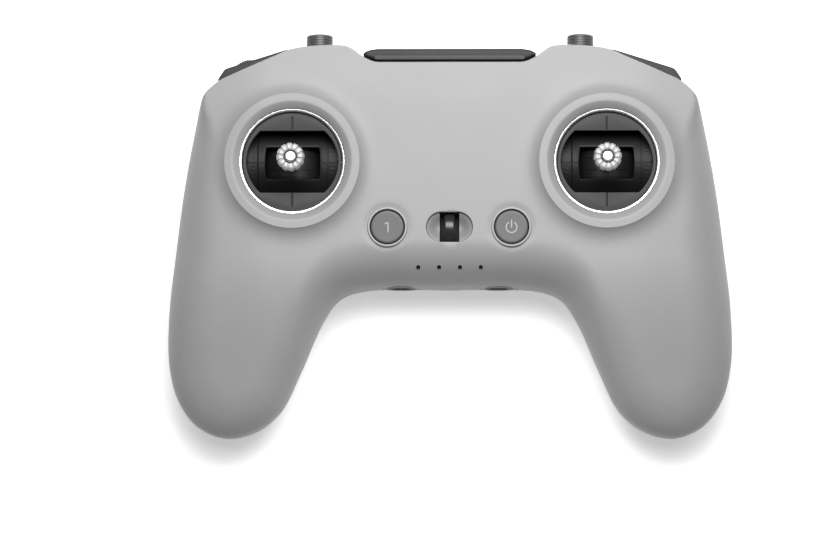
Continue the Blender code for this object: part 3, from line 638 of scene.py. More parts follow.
def inset_loop(loop, inset):
    """Moves a counter-clockwise loop inwards along its averaged normals."""
    loop = np.asarray(loop, float)
    before = unit(loop - np.roll(loop, 1, axis=0))
    after = unit(np.roll(loop, -1, axis=0) - loop)
    tangent = before + after
    normal = unit(np.stack([-tangent[:, 1], tangent[:, 0]], axis=1))
    stretch = 1 / np.maximum((normal * np.stack([-after[:, 1], after[:, 0]], axis=1)).sum(1), 0.5)
    return loop + normal * (inset * stretch)[:, None]


def anticlockwise(loop):
    loop = np.asarray([tuple(p)[:2] for p in loop], float)
    x, y = loop[:, 0], loop[:, 1]
    area = (x * np.roll(y, -1) - np.roll(x, -1) * y).sum()
    return loop if area > 0 else loop[::-1]


def cap_faces(loops):
    """Triangles between an outer loop and its holes, as indices into the loops laid end to end."""
    _, faces, _, sources = triangulate(loops, [])
    return [[sources[index][0] for index in face] for face in faces if all(sources[index] for index in face)]


def slab(name, outer, low, high, edge, surface, holes=(), lift=None, steps=4):
    """A flat piece with rounded rims: an outer outline, holes, and lift(x, y) that may raise its top."""
    bm = bmesh.new()
    caps = ([], [])
    for rim in [anticlockwise(outer), *[anticlockwise(hole)[::-1] for hole in holes]]:
        lines = []
        for under in (False, True):
            for step in range(steps + 1):
                turn = pi / 2 * (steps - step if under else step) / steps
                drop = edge * (1 - cos(turn))
                ring = inset_loop(rim, edge * (1 - sin(turn)))
                level = low + drop if under else high - drop
                verts = []
                for x, y in ring:
                    rise = lift(x, y) if lift and not under else 0.0
                    verts.append(bm.verts.new((x * MM, y * MM, (level + rise) * MM)))
                lines.append(verts)
                if step == (steps if under else 0):
                    caps[under].append((ring, verts))
        bridge(bm, *lines)
    for found in caps:
        verts = [vert for _, ring_verts in found for vert in ring_verts]
        for face in cap_faces([ring for ring, _ in found]):
            bm.faces.new([verts[index] for index in face])
    return finish_object(name, bm, surface)


def skin(name, loops, points, outer, inner, surface):
    """A closed curved sheet: plan loops and points are triangulated and mapped to an outer and an inner side."""
    plan, faces, rims, _ = triangulate(loops, [points])
    sides = [[Vector(side(*spot)) * MM for spot in plan] for side in (outer, inner)]
    bm, outside, inside = two_sides(faces, *sides)
    for loop in rims:
        bridge(bm, [outside[i] for i in loop], [inside[i] for i in loop])
    return finish_object(name, bm, surface)


def put(made, place, turn=None):
    """Bakes a turn and a place (in millimetres) into a piece's mesh."""
    move = Matrix.Translation(Vector(place) * MM)
    made.data.transform(move @ turn if turn else move)
    return made


def turn_to(direction):
    """The matrix that takes +Z to a direction."""
    return Vector((0, 0, 1)).rotation_difference(Vector(direction)).to_matrix().to_4x4()


def cutter(outline, low, high, surface=None):
    """A plain prism to cut with. The cut faces take its material."""
    return slab("cutter", outline, low, high, 0.01, surface or SHELL, steps=1)


def carve(made, tools, sharp=35.0):
    """Cuts with each tool, and keeps the result as the piece's mesh."""
    for tool in tools:
        modifier = made.modifiers.new(tool.name, "BOOLEAN")
        modifier.operation = "DIFFERENCE"
        modifier.object = tool
        modifier.material_mode = "TRANSFER"
    graph = bpy.context.evaluated_depsgraph_get()
    fresh = bpy.data.meshes.new_from_object(made.evaluated_get(graph))
    made.modifiers.clear()
    made.data = fresh
    for tool in tools:
        bpy.data.objects.remove(tool)
    return shade(made, sharp)


def block(name, size, place, surface, turn=0.0, edge=0.2):
    """A box with rounded edges."""
    half_x, half_y, half_z = (part / 2 for part in size)
    outline = [(-half_x, -half_y), (half_x, -half_y), (half_x, half_y), (-half_x, half_y)]
    made = slab(name, soften(outline, max(edge, 0.05), 3), -half_z, half_z, edge, surface, steps=3)
    return put(made, place, Matrix.Rotation(turn, 4, "Z"))


# ---- gimbals

def make_trim_ring(place, label):
    profile = [(WELL_R - 0.03, 31.95), (WELL_R - 0.03, 35.75), (17.55, 36.0), (16.92, 35.8), (16.74, 35.5),
               (16.74, 31.95)]
    ring = lathe(f"bright_ring_{label}", profile, BRIGHT, 160, closed=True, soft=(0.12, 3))
    dress(ring, "casing", "bright_aluminium", f"gimbal_trim_ring_{label}", at=place)


def aperture_loop():
    reach = asin(APERTURE_HALF_Y / APERTURE_R)
    right = arc((APERTURE_SHIFT, 0), APERTURE_R, -reach, reach, 40)
    left = arc((-APERTURE_SHIFT, 0), APERTURE_R, pi - reach, pi + reach, 40)
    return right + left


def make_cover(place, label):
    """The dark disc round the stick, with sight lines above and below: grooves whose cut faces take a darker
    colour as painted shade.
    """
    disc = slab(f"stick_cover_{label}", circle(COVER_R, 160), COVER_TOP - 1.5, COVER_TOP, 0.18, DISC,
                holes=[aperture_loop()])
    middle = (MARK_END + APERTURE_HALF_Y) / 2 - 0.5
    size = (MARK_W, MARK_END - APERTURE_HALF_Y + 1.0, 1.0)
    level = COVER_TOP + 0.5 - MARK_DEPTH
    # The cut faces take the groove colour, painted shade.
    carve(disc, [block(f"sight_{mark}", size, (0, end * middle, level), GROOVE_SHADE, edge=0.04) for end, mark in ENDS])
    dress(disc, "casing", "dark_trim", f"gimbal_cover_{label}", at=place)


def barrel_relief(x, y):
    """How deep the outer barrel's grooves and ticks are at a spot."""
    groove = smooth((0.22 - abs(abs(x) - 11.7)) / 0.1)
    sight = smooth((0.2 - abs(y)) / 0.1) * smooth((abs(x) - 9.7) / 0.2)
    tick = 0.0
    if 13.1 < abs(x) < 14.0:
        tick = smooth((0.2 - abs((y + 0.7) % 1.4 - 0.7)) / 0.1)
    return 0.3 * float(max(groove, sight * 0.8, tick * 0.7))


def wrap_x(radius, x, y):
    """Bends a plan spot round the X axis, for the outer barrel."""
    return x, radius * sin(y / BARREL_R), radius * cos(y / BARREL_R)


def wrap_y(radius, x, y):
    """Bends a plan spot round the Y axis, for the inner barrel."""
    return radius * sin(x / INNER_R), y, radius * cos(x / INNER_R)


def box_rim(half_x, half_y):
    corners = [(-half_x, -half_y), (half_x, -half_y), (half_x, half_y), (-half_x, half_y)]
    return dense_loop(soften(corners, 0.3, 3), 0.5)


def make_pitch_yoke(pivot, label):
    """The outer barrel about X with its window, end plates, pivot pins and the cheeks of the inner pivot."""
    reach = radians(64) * BARREL_R
    loops = [box_rim(BARREL_HALF_X, reach), dense_loop(window_loop(), 0.35)]
    lines = np.array([11.42, 11.55, 11.85, 11.98])
    xs = np.concatenate([np.arange(-14.9, 15.0, 0.4), lines, -lines])
    ys = np.concatenate([np.arange(-reach + 0.5, reach - 0.3, 0.35), (-0.26, -0.12, 0.12, 0.26)])
    grid = np.array([(x, y) for x in xs for y in ys])
    grid = grid[~within(grid, inset_loop(anticlockwise(loops[1]), -0.3))]

    def outer(x, y):
        lip = WINDOW_LIP * (1 - sqrt(max(0.0, 1 - max(0.0, 1 - window_gap(x, y) / WINDOW_LIP) ** 2)))
        return wrap_x(BARREL_R - barrel_relief(x, y) - lip, x, y)

    body = f"{label}_pitch"
    barrel = skin(f"outer_barrel_{label}", loops, grid, outer, lambda x, y: wrap_x(BARREL_R - BARREL_WALL, x, y),
                  BLACK)
    dress(barrel, body, "black_plastic", f"pitch_yoke_{label}", at=pivot)
    half = radians(63)
    rim = [*arc((0, 0), 13.6, pi / 2 - half, pi / 2 + half, 40), (-4.5, -3.2), (4.5, -3.2)]
    for end, mark in ENDS:
        plate = slab(f"barrel_end_{label}_{mark}", soften(rim, 0.3, 2), -0.6, 0.6, 0.15, BLACK)
        at = pivot + Vector((end * (BARREL_HALF_X - 0.7), 0, 0))
        dress(plate, body, "black_plastic", at=at, turn=stand_matrix(pi / 2))
        pin = lathe(f"pitch_pin_{label}_{mark}", [(0, 2.6), (1.4, 2.6), (1.4, -0.3), (0, -0.3)], STEEL, 32,
                    soft=(0.2, 3))
        dress(pin, body, "black_plastic", at=pivot + Vector((end * BARREL_HALF_X, 0, 0)),
              turn=turn_to((end, 0, 0)))
        at = pivot + Vector((0, end * (INNER_HALF_Y + 1.7), 3.7))
        dress(block(f"pivot_cheek_{label}_{mark}", (7.0, 1.4, 15.0), at, BLACK), body, "black_plastic")


def window_loop():
    """The barrel's window: straight above and below, bowed outwards at the sides."""
    half_x, half_y, bow = WINDOW_X / 2 - 0.45, WINDOW_Y / 2, 0.45
    side = [(half_x + bow * (1 - (y / half_y) ** 2), y) for y in np.linspace(-half_y, half_y, 15)]
    loop = side + [(-x, y) for x, y in reversed(side)]
    return soften(loop, 0.35, 2)


def dense_loop(loop, step):
    """Adds points along a loop's long edges."""
    loop = [Vector(p) for p in loop]
    found = []
    for first, second in zip(loop, loop[1:] + loop[:1]):
        pieces = max(1, ceil((second - first).length / step))
        found += [tuple(first.lerp(second, piece / pieces)) for piece in range(pieces)]
    return np.array(found)


def window_gap(x, y):
    """Roughly how far a spot on the barrel lies outside the window."""
    half_y = WINDOW_Y / 2
    side = WINDOW_X / 2 - 0.45 + 0.45 * (1 - min(1.0, (y / half_y) ** 2))
    return max(abs(x) - side, abs(y) - half_y, 0.0)


def stand_matrix(spin):
    return Matrix.Rotation(spin, 4, "Z") @ Matrix.Rotation(pi / 2, 4, "X")


def roll_relief(x, y):
    """Grooves in the inner barrel: two lines along the stick's slot and short ticks above and below it."""
    line = smooth((0.16 - abs(abs(y) - 2.1)) / 0.08) * smooth((8.4 - abs(x)) / 0.4) * smooth((abs(x) - 3.4) / 0.3)
    ticks = 0.0
    if 2.6 < abs(y) < 3.8:
        ticks = max(smooth((0.15 - abs(abs(x) - mark)) / 0.08) for mark in (5.2, 6.1, 7.0))
    rim = smooth((0.14 - abs(abs(y) - 4.5)) / 0.08)
    return 0.22 * float(max(line, ticks, rim))


def make_roll_yoke(pivot, label):
    """The inner barrel about Y with its hub, the neck that holds the stick, and two raised arrows by it."""
    reach = radians(66) * INNER_R
    marks = np.array([2.6, 3.8, 1.92, 2.02, 2.18, 2.28, 4.35, 4.45, 4.55, 4.65])
    ys = np.unique(np.concatenate([np.arange(-5.6, 5.7, 0.35), marks, -marks]))
    cuts = np.array([7.15, 7.0, 6.85, 6.25, 6.1, 5.95, 5.35, 5.2, 5.05])
    xs = np.unique(np.round(np.concatenate([np.arange(-reach + 0.4, reach - 0.3, 0.3), cuts, -cuts]), 3))
    grid = np.array([(x, y) for x in xs for y in ys])
    grid = grid[np.hypot(grid[:, 0], grid[:, 1]) > POST_R + 0.9]
    barrel = skin(f"inner_barrel_{label}", [box_rim(reach, INNER_HALF_Y), circle(POST_R + 0.5, 40)], grid,
                  lambda x, y: wrap_y(INNER_R - roll_relief(x, y), x, y),
                  lambda x, y: wrap_y(INNER_R - 1.4, x, y), BLACK)
    body = f"{label}_stick"
    dress(barrel, body, "black_plastic", f"roll_yoke_{label}", at=pivot)
    neck = [(0, 1.0), (3.4, 1.0), (3.4, 10.2), (3.1, 10.5), (POST_R + 0.15, 10.5), (POST_R + 0.15, 3.6),
            (0, 3.6)]
    dress(lathe(f"stick_neck_{label}", neck, BLACK, 48, soft=(0.2, 2)), body, "black_plastic", at=pivot)
    half = [(3.0, 5.7), (1.4, 5.7), (1.4, 7.8), (1.25, 8.0), (0, 8.0)]
    hub = lathe(f"roll_hub_{label}", [(r, -h) for r, h in reversed(half)] + half, BLACK, 40)
    dress(hub, body, "black_plastic", at=pivot, turn=turn_to((0, 1, 0)))
    shape = [(-0.75, 0.45), (0, -0.55), (0.75, 0.45), (0.3, 0.45), (0, 0.0), (-0.3, 0.45)]
    for end, mark in ENDS:
        arrow = slab(f"arrow_{label}_{mark}", shape, -0.1, 0.1, 0.04, DISC, steps=1)
        turn = Matrix.Rotation(0.0 if end < 0 else pi, 4, "Z")
        dress(arrow, body, "black_plastic", at=pivot + Vector((0, end * 3.6, INNER_R - 0.02)), turn=turn)


def make_post(place, label):
    """The steel stick post, threaded where the crown screws on."""
    low = PIVOT_Z + 3.4
    profile = [(0, low), (POST_R - 0.25, low), (POST_R, low + 0.3), (POST_R, 38.0)]
    height = 38.3
    while height < TIP_BOTTOM + 2.4:
        profile += [(POST_R - 0.22, height), (POST_R, height + 0.25)]
        height += 0.5
    profile += [(POST_R - 0.3, TIP_BOTTOM + 3.0), (0, TIP_BOTTOM + 3.0)]
    post = lathe(f"stick_post_fine_{label}", profile, STEEL, 48)
    dress(post, f"{label}_stick", "steel", f"stick_post_{label}", at=place)


def petals(angle, radius, height):
    """Sinks the grooves between a crown's petals."""
    phase = abs((angle * PETALS / tau + 0.35) % 1.0 - 0.5) * 2
    groove = smooth((phase - 0.6) / 0.3)
    if radius < 2.15 or height < TIP_BOTTOM + 0.3:
        return radius, height
    out = smooth((radius - 4.0) / 0.6)
    high = smooth((height - 48.6) / 1.2)
    return radius - 0.3 * groove * out, height - 0.7 * groove * high


def make_crown(place, label):
    """The stick's end: petals round a bright centre, with a black ring at the bottom of the gap between them as
    painted shade.
    """
    profile = [(0, 46.2), (POST_R + 0.1, 46.2), (POST_R + 0.1, TIP_BOTTOM), (3.6, TIP_BOTTOM),
               (3.9, TIP_BOTTOM + 0.4), (3.9, 45.2), (4.5, 45.9), (TIP_R, 46.4), (TIP_R, 49.4), (4.58, 50.1),
               (4.3, 50.6), (3.8, 50.88), (3.2, 50.93), (2.6, 50.88), (2.3, 50.7), (2.2, 50.3), (2.2, 49.0),
               (0, 49.0)]
    crown = lathe(f"stick_crown_{label}", profile, CROWN, 16 * PETALS, swell=petals, soft=(0.3, 2))
    centre = [(0, 50.75), (1.2, 50.72), (1.7, 50.6), (1.86, 50.35), (1.86, 48.9), (0, 48.9)]
    centre = lathe(f"crown_centre_{label}", centre, BRIGHT, 64, soft=(0.15, 2))
    # A black ring in the gap between centre and petals: a dark piece that stands for the shade there.
    gap = lathe(f"crown_gap_shade_{label}", [(1.8, 49.3), (2.35, 49.3), (2.35, 48.8), (1.8, 48.8)], BLACK, 64,
                closed=True)
    dress(crown, f"{label}_stick", "bright_aluminium", f"stick_tip_{label}", at=place)
    for piece in (centre, gap):
        dress(piece, f"{label}_stick", "bright_aluminium", at=place)


# ---- front keys, recess and lights

def stroke(path, width):
    """The outline of an open line of the given width."""
    path = np.asarray(path, float)
    ahead = np.gradient(path, axis=0)
    ahead /= np.linalg.norm(ahead, axis=1)[:, None]
    side = np.stack([-ahead[:, 1], ahead[:, 0]], axis=1) * width / 2
    cap = []
    for centre, heading in ((path[-1], ahead[-1]), (path[0], -ahead[0])):
        start = atan2(heading[1], heading[0]) - pi / 2
        cap.append(arc(centre, width / 2, start, start + pi, 8)[1:-1])
    return [tuple(p) for p in (path - side)] + cap[0] + [tuple(p) for p in (path + side)[::-1]] + cap[1]


def make_glyphs(label, place):
    """A power sign on one key and a plain numeral on the other."""
    if label == "power":
        turn = arc((0, -0.15), 1.8, radians(124), radians(416), 48)
        strokes = [turn, [(0, y) for y in np.linspace(-0.2, 2.15, 6)]]
    else:
        strokes = [[(0.25, y) for y in np.linspace(-1.75, 1.75, 8)],
                   [(x, 1.75 + (x - 0.25) * 0.75) for x in np.linspace(-0.75, 0.25, 5)]]
    for index, path in enumerate(strokes):
        glyph = slab(f"{label}_sign_{index}", stroke(path, 0.42), -0.1, 0.05, 0.03, GLYPH, steps=1)
        dress(glyph, f"{label}_key", "key_plastic", at=place)


def make_front_keys():
    """The two round keys, with their signs and the rings round them, coloured lighter than the shell as a painted
    highlight.
    """
    cap = [(0, KEY_TOP), (3.5, KEY_TOP), (4.95, 36.33), (5.35, 36.25), (5.57, 36.0), (BUTTON_R, 35.7),
           (BUTTON_R, 32.3), (7.2, 32.3), (7.3, 32.2), (7.3, 31.3), (1.8, 31.3), (1.8, 29.8), (0, 29.8)]
    rim = [(BUTTON_HOLE_R + 0.02, 35.0), (BUTTON_HOLE_R + 0.02, 36.6), (6.55, 36.6), (6.75, 35.9), (6.75, 35.0)]
    for side, label in ((-1, "custom"), (1, "power")):
        place = (side * BUTTON_X, FRONT_ROW_Y, 0)
        key = lathe(f"{label}_key_cap", cap, KEY, soft=(0.12, 2))
        dress(key, f"{label}_key", "key_plastic", f"{label}_button", at=place)
        make_glyphs(label, (place[0], place[1], KEY_TOP))
        # The rim takes the lighter bezel colour, a painted highlight.
        bezel = lathe(f"{label}_bezel", rim, HIGHLIGHT_BEZEL, closed=True, soft=(0.3, 4))
        dress(bezel, "casing", "shell", at=place)


def make_recess():
    """The lanyard cup: scooped sides that fall to a slot, with a rounded bar across it. The scoops are a darker
    copy of the shell plastic and the slot's walls and bed are black, both painted shade.
    """
    centre = (0, FRONT_ROW_Y)
    outline = dense_loop(pill(centre, RECESS_L - 0.3, RECESS_W - 0.3, 28), 0.4)
    grid = np.array([(x, y) for x in np.arange(-7.4, 7.5, 0.35) for y in np.arange(-2.7, 6.8, 0.45)])
    grid = grid[within(grid, inset_loop(anticlockwise(outline), 0.15))]

    def scoop(x, y):
        reach = (RECESS_L - RECESS_W) / 2
        inward = RECESS_W / 2 - 0.15 - hypot(max(abs(x) - reach, 0), y - FRONT_ROW_Y)
        return x, y, 34.9 - 2.6 * float(smooth(inward / 4.4 + 0.06))

    # The scoops take a darker copy of the shell plastic, painted shade.
    cup = skin("lanyard_recess", [outline], grid, scoop, lambda x, y: (x, y, 26.9), SHADED_SCOOP)
    # The slot's cut walls take black from the tool: painted shade.
    carve(cup, [block("slot_shade_tool", (6.6, 20.0, 12.0), (0, FRONT_ROW_Y, 34.0), BLACK, edge=0.05)])
    dress(cup, "casing", "shell", "lanyard_cup")
    flange = slab("cup_flange", pill(centre, RECESS_L + 3.3, RECESS_W + 3.3, 28), 28.0, 32.0, 0.2, SHELL,
                  holes=[pill(centre, RECESS_L - 0.2, RECESS_W - 0.2, 28)])
    dress(flange, "casing", "shell")
    # A black bed under the slot: a dark piece that stands for the shade there.
    shade_bed = slab("lanyard_bed_shade", [(-3.25, -2.8), (3.25, -2.8), (3.25, 6.8), (-3.25, 6.8)], 27.4, 28.1, 0.1, BLACK)
    dress(shade_bed, "casing", "dark_trim")
    half, rise = 5.6, 4.4
    radius = (half * half + rise * rise) / (2 * rise)
    reach = asin(half / radius)
    crown = arc((0, 35.5 - radius), radius, pi / 2 - reach, pi / 2 + reach, 30)
    under = [(-half, 30.3), (-4.2, 32.2), (4.2, 32.2), (half, 30.3)]
    bar = slab("lanyard_loop", soften([*crown, *under], 0.9, 4), -BAR_W / 2, BAR_W / 2, 0.7, GLOSSY, steps=8)
    dress(bar, "casing", "dark_trim", "lanyard_bar", at=(*centre, 0), turn=stand_matrix(pi / 2))


def make_lights():
    """Four smoked light pipes on one strip under the face."""
    strip = block("light_strip", (24.0, 1.6, 1.2), (0, LIGHT_Y, 26.9), MILKY)
    dress(strip, "casing", "light_guide", "light_guide")
    profile = [(0, LIGHT_TOP), (0.35, LIGHT_TOP - 0.04), (0.55, LIGHT_TOP - 0.25), (0.6, LIGHT_TOP - 0.5),
               (0.6, 28.2), (0, 28.2)]
    for index, x in enumerate(LIGHT_XS):
        dress(lathe(f"light_lens_{index}", profile, LENS, 32), "casing", "light_guide", at=(x, LIGHT_Y, 0))


# ---- top edge

def make_switch(side, label):
    """A toggle: a ribbed knob on a steel lever with a ball at its pivot."""
    end = KNOB_END_Y - SWITCH_PIVOT_Y
    start = KNOB_Y - SWITCH_PIVOT_Y
    profile = [(0, end), (3.4, end), (3.95, end - 0.12), (4.42, end - 0.55)]
    at = end - 1.0
    while at > start + 0.9:
        profile += [(KNOB_R, at + 0.2), (KNOB_R, at), (KNOB_R - 0.22, at - 0.12), (KNOB_R - 0.22, at - 0.3),
                    (KNOB_R, at - 0.42)]
        at -= 0.85
    profile += [(KNOB_R, start + 0.5), (KNOB_R - 0.4, start), (1.7, start), (1.7, start + 3.6),
                (0, start + 3.6)]
    where = {"at": (side * SWITCH_X, SWITCH_PIVOT_Y, SWITCH_Z), "turn": turn_to((0, 1, 0))}
    knob = lathe(f"toggle_knob_{label}", profile, KNOB, sharp=28)
    dress(knob, f"{label}_toggle", "dark_trim", f"switch_knob_{label}", **where)
    lever = [(0, start + 3.4), (1.4, start + 3.4), (1.5, start + 3.2), (1.5, 2.6)]
    lever += [(3.0 * cos(turn), 3.0 * sin(turn)) for turn in np.linspace(radians(60), -pi / 2, 18)]
    lever = lathe(f"toggle_lever_{label}", [*lever[:-1], (0, -3.0)], STEEL, 48)
    dress(lever, f"{label}_toggle", "steel", f"switch_lever_{label}", **where)


def make_antenna_cover():
    """A dark strip in the notch of the top edge, with a raised step along the casing, coloured lighter than the
    strip as a painted highlight.
    """
    right = [(24.3, NOTCH_Y + GAP), (27.9, 60.2), (29.2, 60.9), (28.9, 61.5), (27.4, 62.3), (24.5, 62.8)]
    plan = right + [(-x, y) for x, y in reversed(right)]
    cover = slab("antenna_strip", soften(plan, 0.8, 4), 5.0, 31.5, 0.7, DARK, steps=6)
    dress(cover, "casing", "dark_trim", "antenna_cover")
    # The step is lighter than the strip: a painted highlight.
    dress(slab("antenna_step", pill((0, 59.8), 51.0, 1.7, 12), 30.6, 32.1, 0.3, STEP_HIGHLIGHT), "casing", "dark_trim")


# ---- shoulders

def shoulder_normal():
    run = (TRIM_B - TRIM_A).normalized()
    return Vector((-run.y, run.x))


def on_shoulder(side, along_edge, inset=0.0):
    run = (TRIM_B - TRIM_A).normalized()
    point = TRIM_A + run * along_edge - shoulder_normal() * inset
    return Vector((side * point.x, point.y))


def trim_outline(side, grow=0.0):
    """The plan of a shoulder trim, or of the pocket that takes it."""
    corner = Vector((57.0, 61.7))
    line = (TRIM_END - corner).normalized()
    deep = Vector((line.y, -line.x)) * (TRIM_DEPTH + grow)
    lift = shoulder_normal() * grow
    plan = [TRIM_A + lift - line * grow, TRIM_B + lift + line * grow, TRIM_END + line * grow,
            TRIM_END + deep + line * (grow - 2.0), corner + deep - line * (grow + 2.4)]
    return [(side * point.x, point.y) for point in plan]


def shoulder_at(side, at, inset=KEY_INSET):
    """Where a piece goes that is drawn in the XY plane and has its top facing out of a shoulder."""
    normal = shoulder_normal()
    point = on_shoulder(side, at, inset)
    heading = atan2(normal.y, side * normal.x) + pi / 2
    turn = Matrix.Rotation(heading, 4, "Z") @ Matrix.Rotation(-pi / 2, 4, "X")
    return (point.x, point.y, SHOULDER_Z), turn


def make_shoulder_key(name, body, side, spot, signs):
    """A button on a shoulder: a domed cap, with raised signs on it."""
    at, length, width = spot
    at, turn = shoulder_at(side, at)

    def crown(x, y):
        return 0.22 * max(0.0, 1 - (2 * x / length) ** 2) * max(0.0, 1 - (2 * y / width) ** 2)

    key = slab(f"{name}_cap", dense_loop(pill((0, 0), length, width, 20), 0.5), -2.2, 2.2, 0.35, KEY,
               lift=crown)
    dress(key, body, "key_plastic", name, at=at, turn=turn)
    for sign, outline in signs.items():
        dress(slab(sign, outline, 2.2, 2.46, 0.05, GLYPH, steps=2), body, "key_plastic", at=at, turn=turn)


def make_trim(side, label, spots):
    """A shoulder trim with a hole and a rim for each key, and the dial's slot in the left one."""
    trim = slab(f"shoulder_{label}", soften(trim_outline(side), 1.0, 3), TRIM_LOW, TRIM_HIGH, 0.45, DARK)
    tools = []
    for at, length, width in spots:
        hole = cutter(pill((0, 0), length + 0.5, width + 0.5, 20), -12.0, 12.0, BLACK)
        rim = slab("key_rim", pill((0, 0), length + 1.6, width + 1.6, 20), 1.35, 6.0, 0.2, BLACK, steps=2)
        tools += [put(tool, *shoulder_at(side, at)) for tool in (hole, rim)]
    if side < 0:
        slot = lathe("dial_slot", [(0, 3), (DIAL_R + 0.5, 3), (DIAL_R + 0.5, -3), (0, -3)], BLACK, 72)
        tools.append(put(slot, shoulder_at(side, DIAL_AT, DIAL_INSET)[0]))
    for tool in tools:
        carve(trim, [tool])
    dress(trim, "casing", "dark_trim", f"shoulder_trim_{label}")


def make_dial():
    """The knurled dial on the left shoulder."""
    def teeth(angle, radius, height):
        if radius < DIAL_R - 0.9 or abs(height) > 2.3:
            return radius, height
        return radius - 0.35 * (0.5 - 0.5 * cos(angle * 44)) ** 2, height

    half = [(1.5, 2.2), (4.9, 2.2), (5.2, 2.5), (DIAL_R - 0.5, 2.5), (DIAL_R, 2.0), (DIAL_R, 0.4),
            (DIAL_R - 0.25, 0.25)]
    profile = half + [(radius, -height) for radius, height in reversed(half)]
    dial = lathe("tilt_dial", profile, RUBBER, 352, closed=True, swell=teeth, soft=(0.12, 2))
    dress(dial, "dial", "black_plastic", "gimbal_dial", at=shoulder_at(-1, DIAL_AT, DIAL_INSET)[0])


def make_shoulders():
    square = soften([(-0.7, -0.7), (0.7, -0.7), (0.7, 0.7), (-0.7, 0.7)], 0.2, 3)
    bars = [(-0.75, -0.8), (-0.2, -0.8), (-0.2, 0.8), (-0.75, 0.8)]
    small, large = (4.2, 5.2, 5.19), (15.2, 10.0, 7.0)
    make_trim(1, "right", [small, large])
    make_shoulder_key("start_stop_button", "start_stop_key", 1, small, {"start_stop_button_sign": square})
    make_shoulder_key("record_button", "record_key", 1, large, {"record_button_sign": circle(1.5, 40)})
    make_trim(-1, "left", [small])
    make_shoulder_key("pause_button", "pause_key", -1, small,
                      {"pause_button_sign": bars, "pause_sign_bar": [(-x, y) for x, y in bars]})
    make_dial()


# ---- bottom edge and back

def capsule(first, second, half_width, count=24):
    run = second - first
    heading = atan2(run.y, run.x)
    far = arc(second, half_width, heading - pi / 2, heading + pi / 2, count)
    return far + arc(first, half_width, heading + pi / 2, heading + 3 * pi / 2, count)


def pad_ends(side):
    return [Vector((side * end[0], end[1])) for end in PAD_ENDS]


def make_pads():
    """Rubber pads on the back of the grips, with slanted tread grooves."""
    size = (2 * PAD_HALF_W - 5.0, 1.1, 0.7)
    for side, label in SIDES:
        first, second = pad_ends(side)
        outline = dense_loop(capsule(first, second, PAD_HALF_W), 1.0)
        pad = slab(f"rubber_pad_{label}", outline, 0.0, PAD_TOP, 0.5, RUBBER)
        run = (second - first).normalized()
        turn = atan2(run.x, -run.y) + side * 0.35
        middles = [first + run * (2.0 + index * TREAD_STEP)
                   for index in range(int((second - first).length / TREAD_STEP))]
        carve(pad, [merge([block("tread", size, (*middle, 0.0), RUBBER, turn, 0.15) for middle in middles])])
        dress(pad, "casing", "rubber", f"grip_pad_{label}")


def merge(tools):
    """Puts several separate closed meshes in one object."""
    bm = bmesh.new()
    for tool in tools:
        bm.from_mesh(tool.data)
    bm.to_mesh(tools[0].data)
    bm.free()
    for tool in tools[1:]:
        bpy.data.objects.remove(tool)
    return tools[0]


def make_screws():
    """Pan-head screws with a six-lobe recess, and the tubes and bosses of the shells that take them."""
    shank = [(0, 6.4), (1.2, 6.45), (2.0, 6.75), (2.35, 7.3), (2.4, 8.0), (1.05, 8.0)]
    height = 9.0
    while height < 25.0:
        shank += [(1.05, height), (0.85, height + 0.3), (1.05, height + 0.6)]
        height += 0.8
    shank += [(0.6, 26.0), (0, 26.0)]
    angles = [tau * step / 48 for step in range(48)]
    lobes = [(1.05 + 0.2 * cos(6 * angle), angle) for angle in angles]
    lobes = [(radius * cos(angle), radius * sin(angle)) for radius, angle in lobes]
    tube = [(2.9, 2.2), (2.9, 8.3), (1.6, 8.3), (1.6, 16.5), (4.2, 16.5), (4.2, 2.6), (3.6, 2.0)]
    low = PART_Z + 0.4
    for number, (side, (x, y)) in enumerate([(side, spot) for side, _ in SIDES for spot in SCREW_SPOTS], 1):
        screw = lathe(f"screw_{number}", shank, STEEL, 48)
        carve(screw, [slab("drive", lobes, 5.5, 7.5, 0.02, STEEL, steps=1)])
        depth = nearest_edge(np.array([[x, y]]))[0][0] - 3.2
        roof = float(face_inside(np.array(x), np.array(y), depth)) + 0.2
        boss = [(1.35, low), (3.2, low), (3.2, roof), (1.35, roof)]
        at = (side * x, y, 0)
        dress(screw, "casing", "steel", f"case_screw_{number}", at=at)
        dress(lathe(f"screw_tube_{number}", tube, SHELL, 48, closed=True), "casing", "shell", at=at)
        dress(lathe(f"screw_boss_{number}", boss, SHELL, 40, closed=True), "casing", "shell", at=at)


def make_port():
    """The USB inlet: a rolled steel shell, and a tongue with contacts."""
    bm = bmesh.new()
    lines = []
    for grow, depth in ((0, 3.5), (0, -3.6), (-0.1, -3.7), (-0.5, -3.7), (-0.6, -3.6), (-0.6, 2.6),
                        (-8.0, 2.6)):
        ring = pill((0, 0), max(PORT_L + grow, 0.4), max(PORT_W + grow, 0.2), 16)
        lines.append([bm.verts.new(Vector((x, depth - 13.4, PORT_Z + z)) * MM) for x, z in ring])
    bridge(bm, *lines)
    bm.faces.new(lines[0])
    bm.faces.new(lines[-1])
    dress(finish_object("port_shell", bm, STEEL), "casing", "steel", "usb_c_port")
    dress(block("port_tongue", (6.6, 4.8, 0.7), (0, -12.9, PORT_Z), BLACK, edge=0.12), "casing", "steel")
    for row, z in ((0, 0.36), (1, -0.36)):
        for index in range(8):
            place = ((index - 3.5) * 0.7, -13.4, PORT_Z + z)
            pin = block(f"port_pin_{row}_{index}", (0.26, 3.2, 0.06), place, CONTACT, edge=0.02)
            dress(pin, "casing", "steel")


def ribs(angle, radius, height):
    """Raises eight ribs in a storage sleeve's bore."""
    if abs(radius - SLEEVE_BORE_R) > 0.05 or height < -SLEEVE_DEEP + 2.0:
        return radius, height
    return radius - 0.3 * (0.5 + 0.5 * cos(angle * 8)) ** 4, height


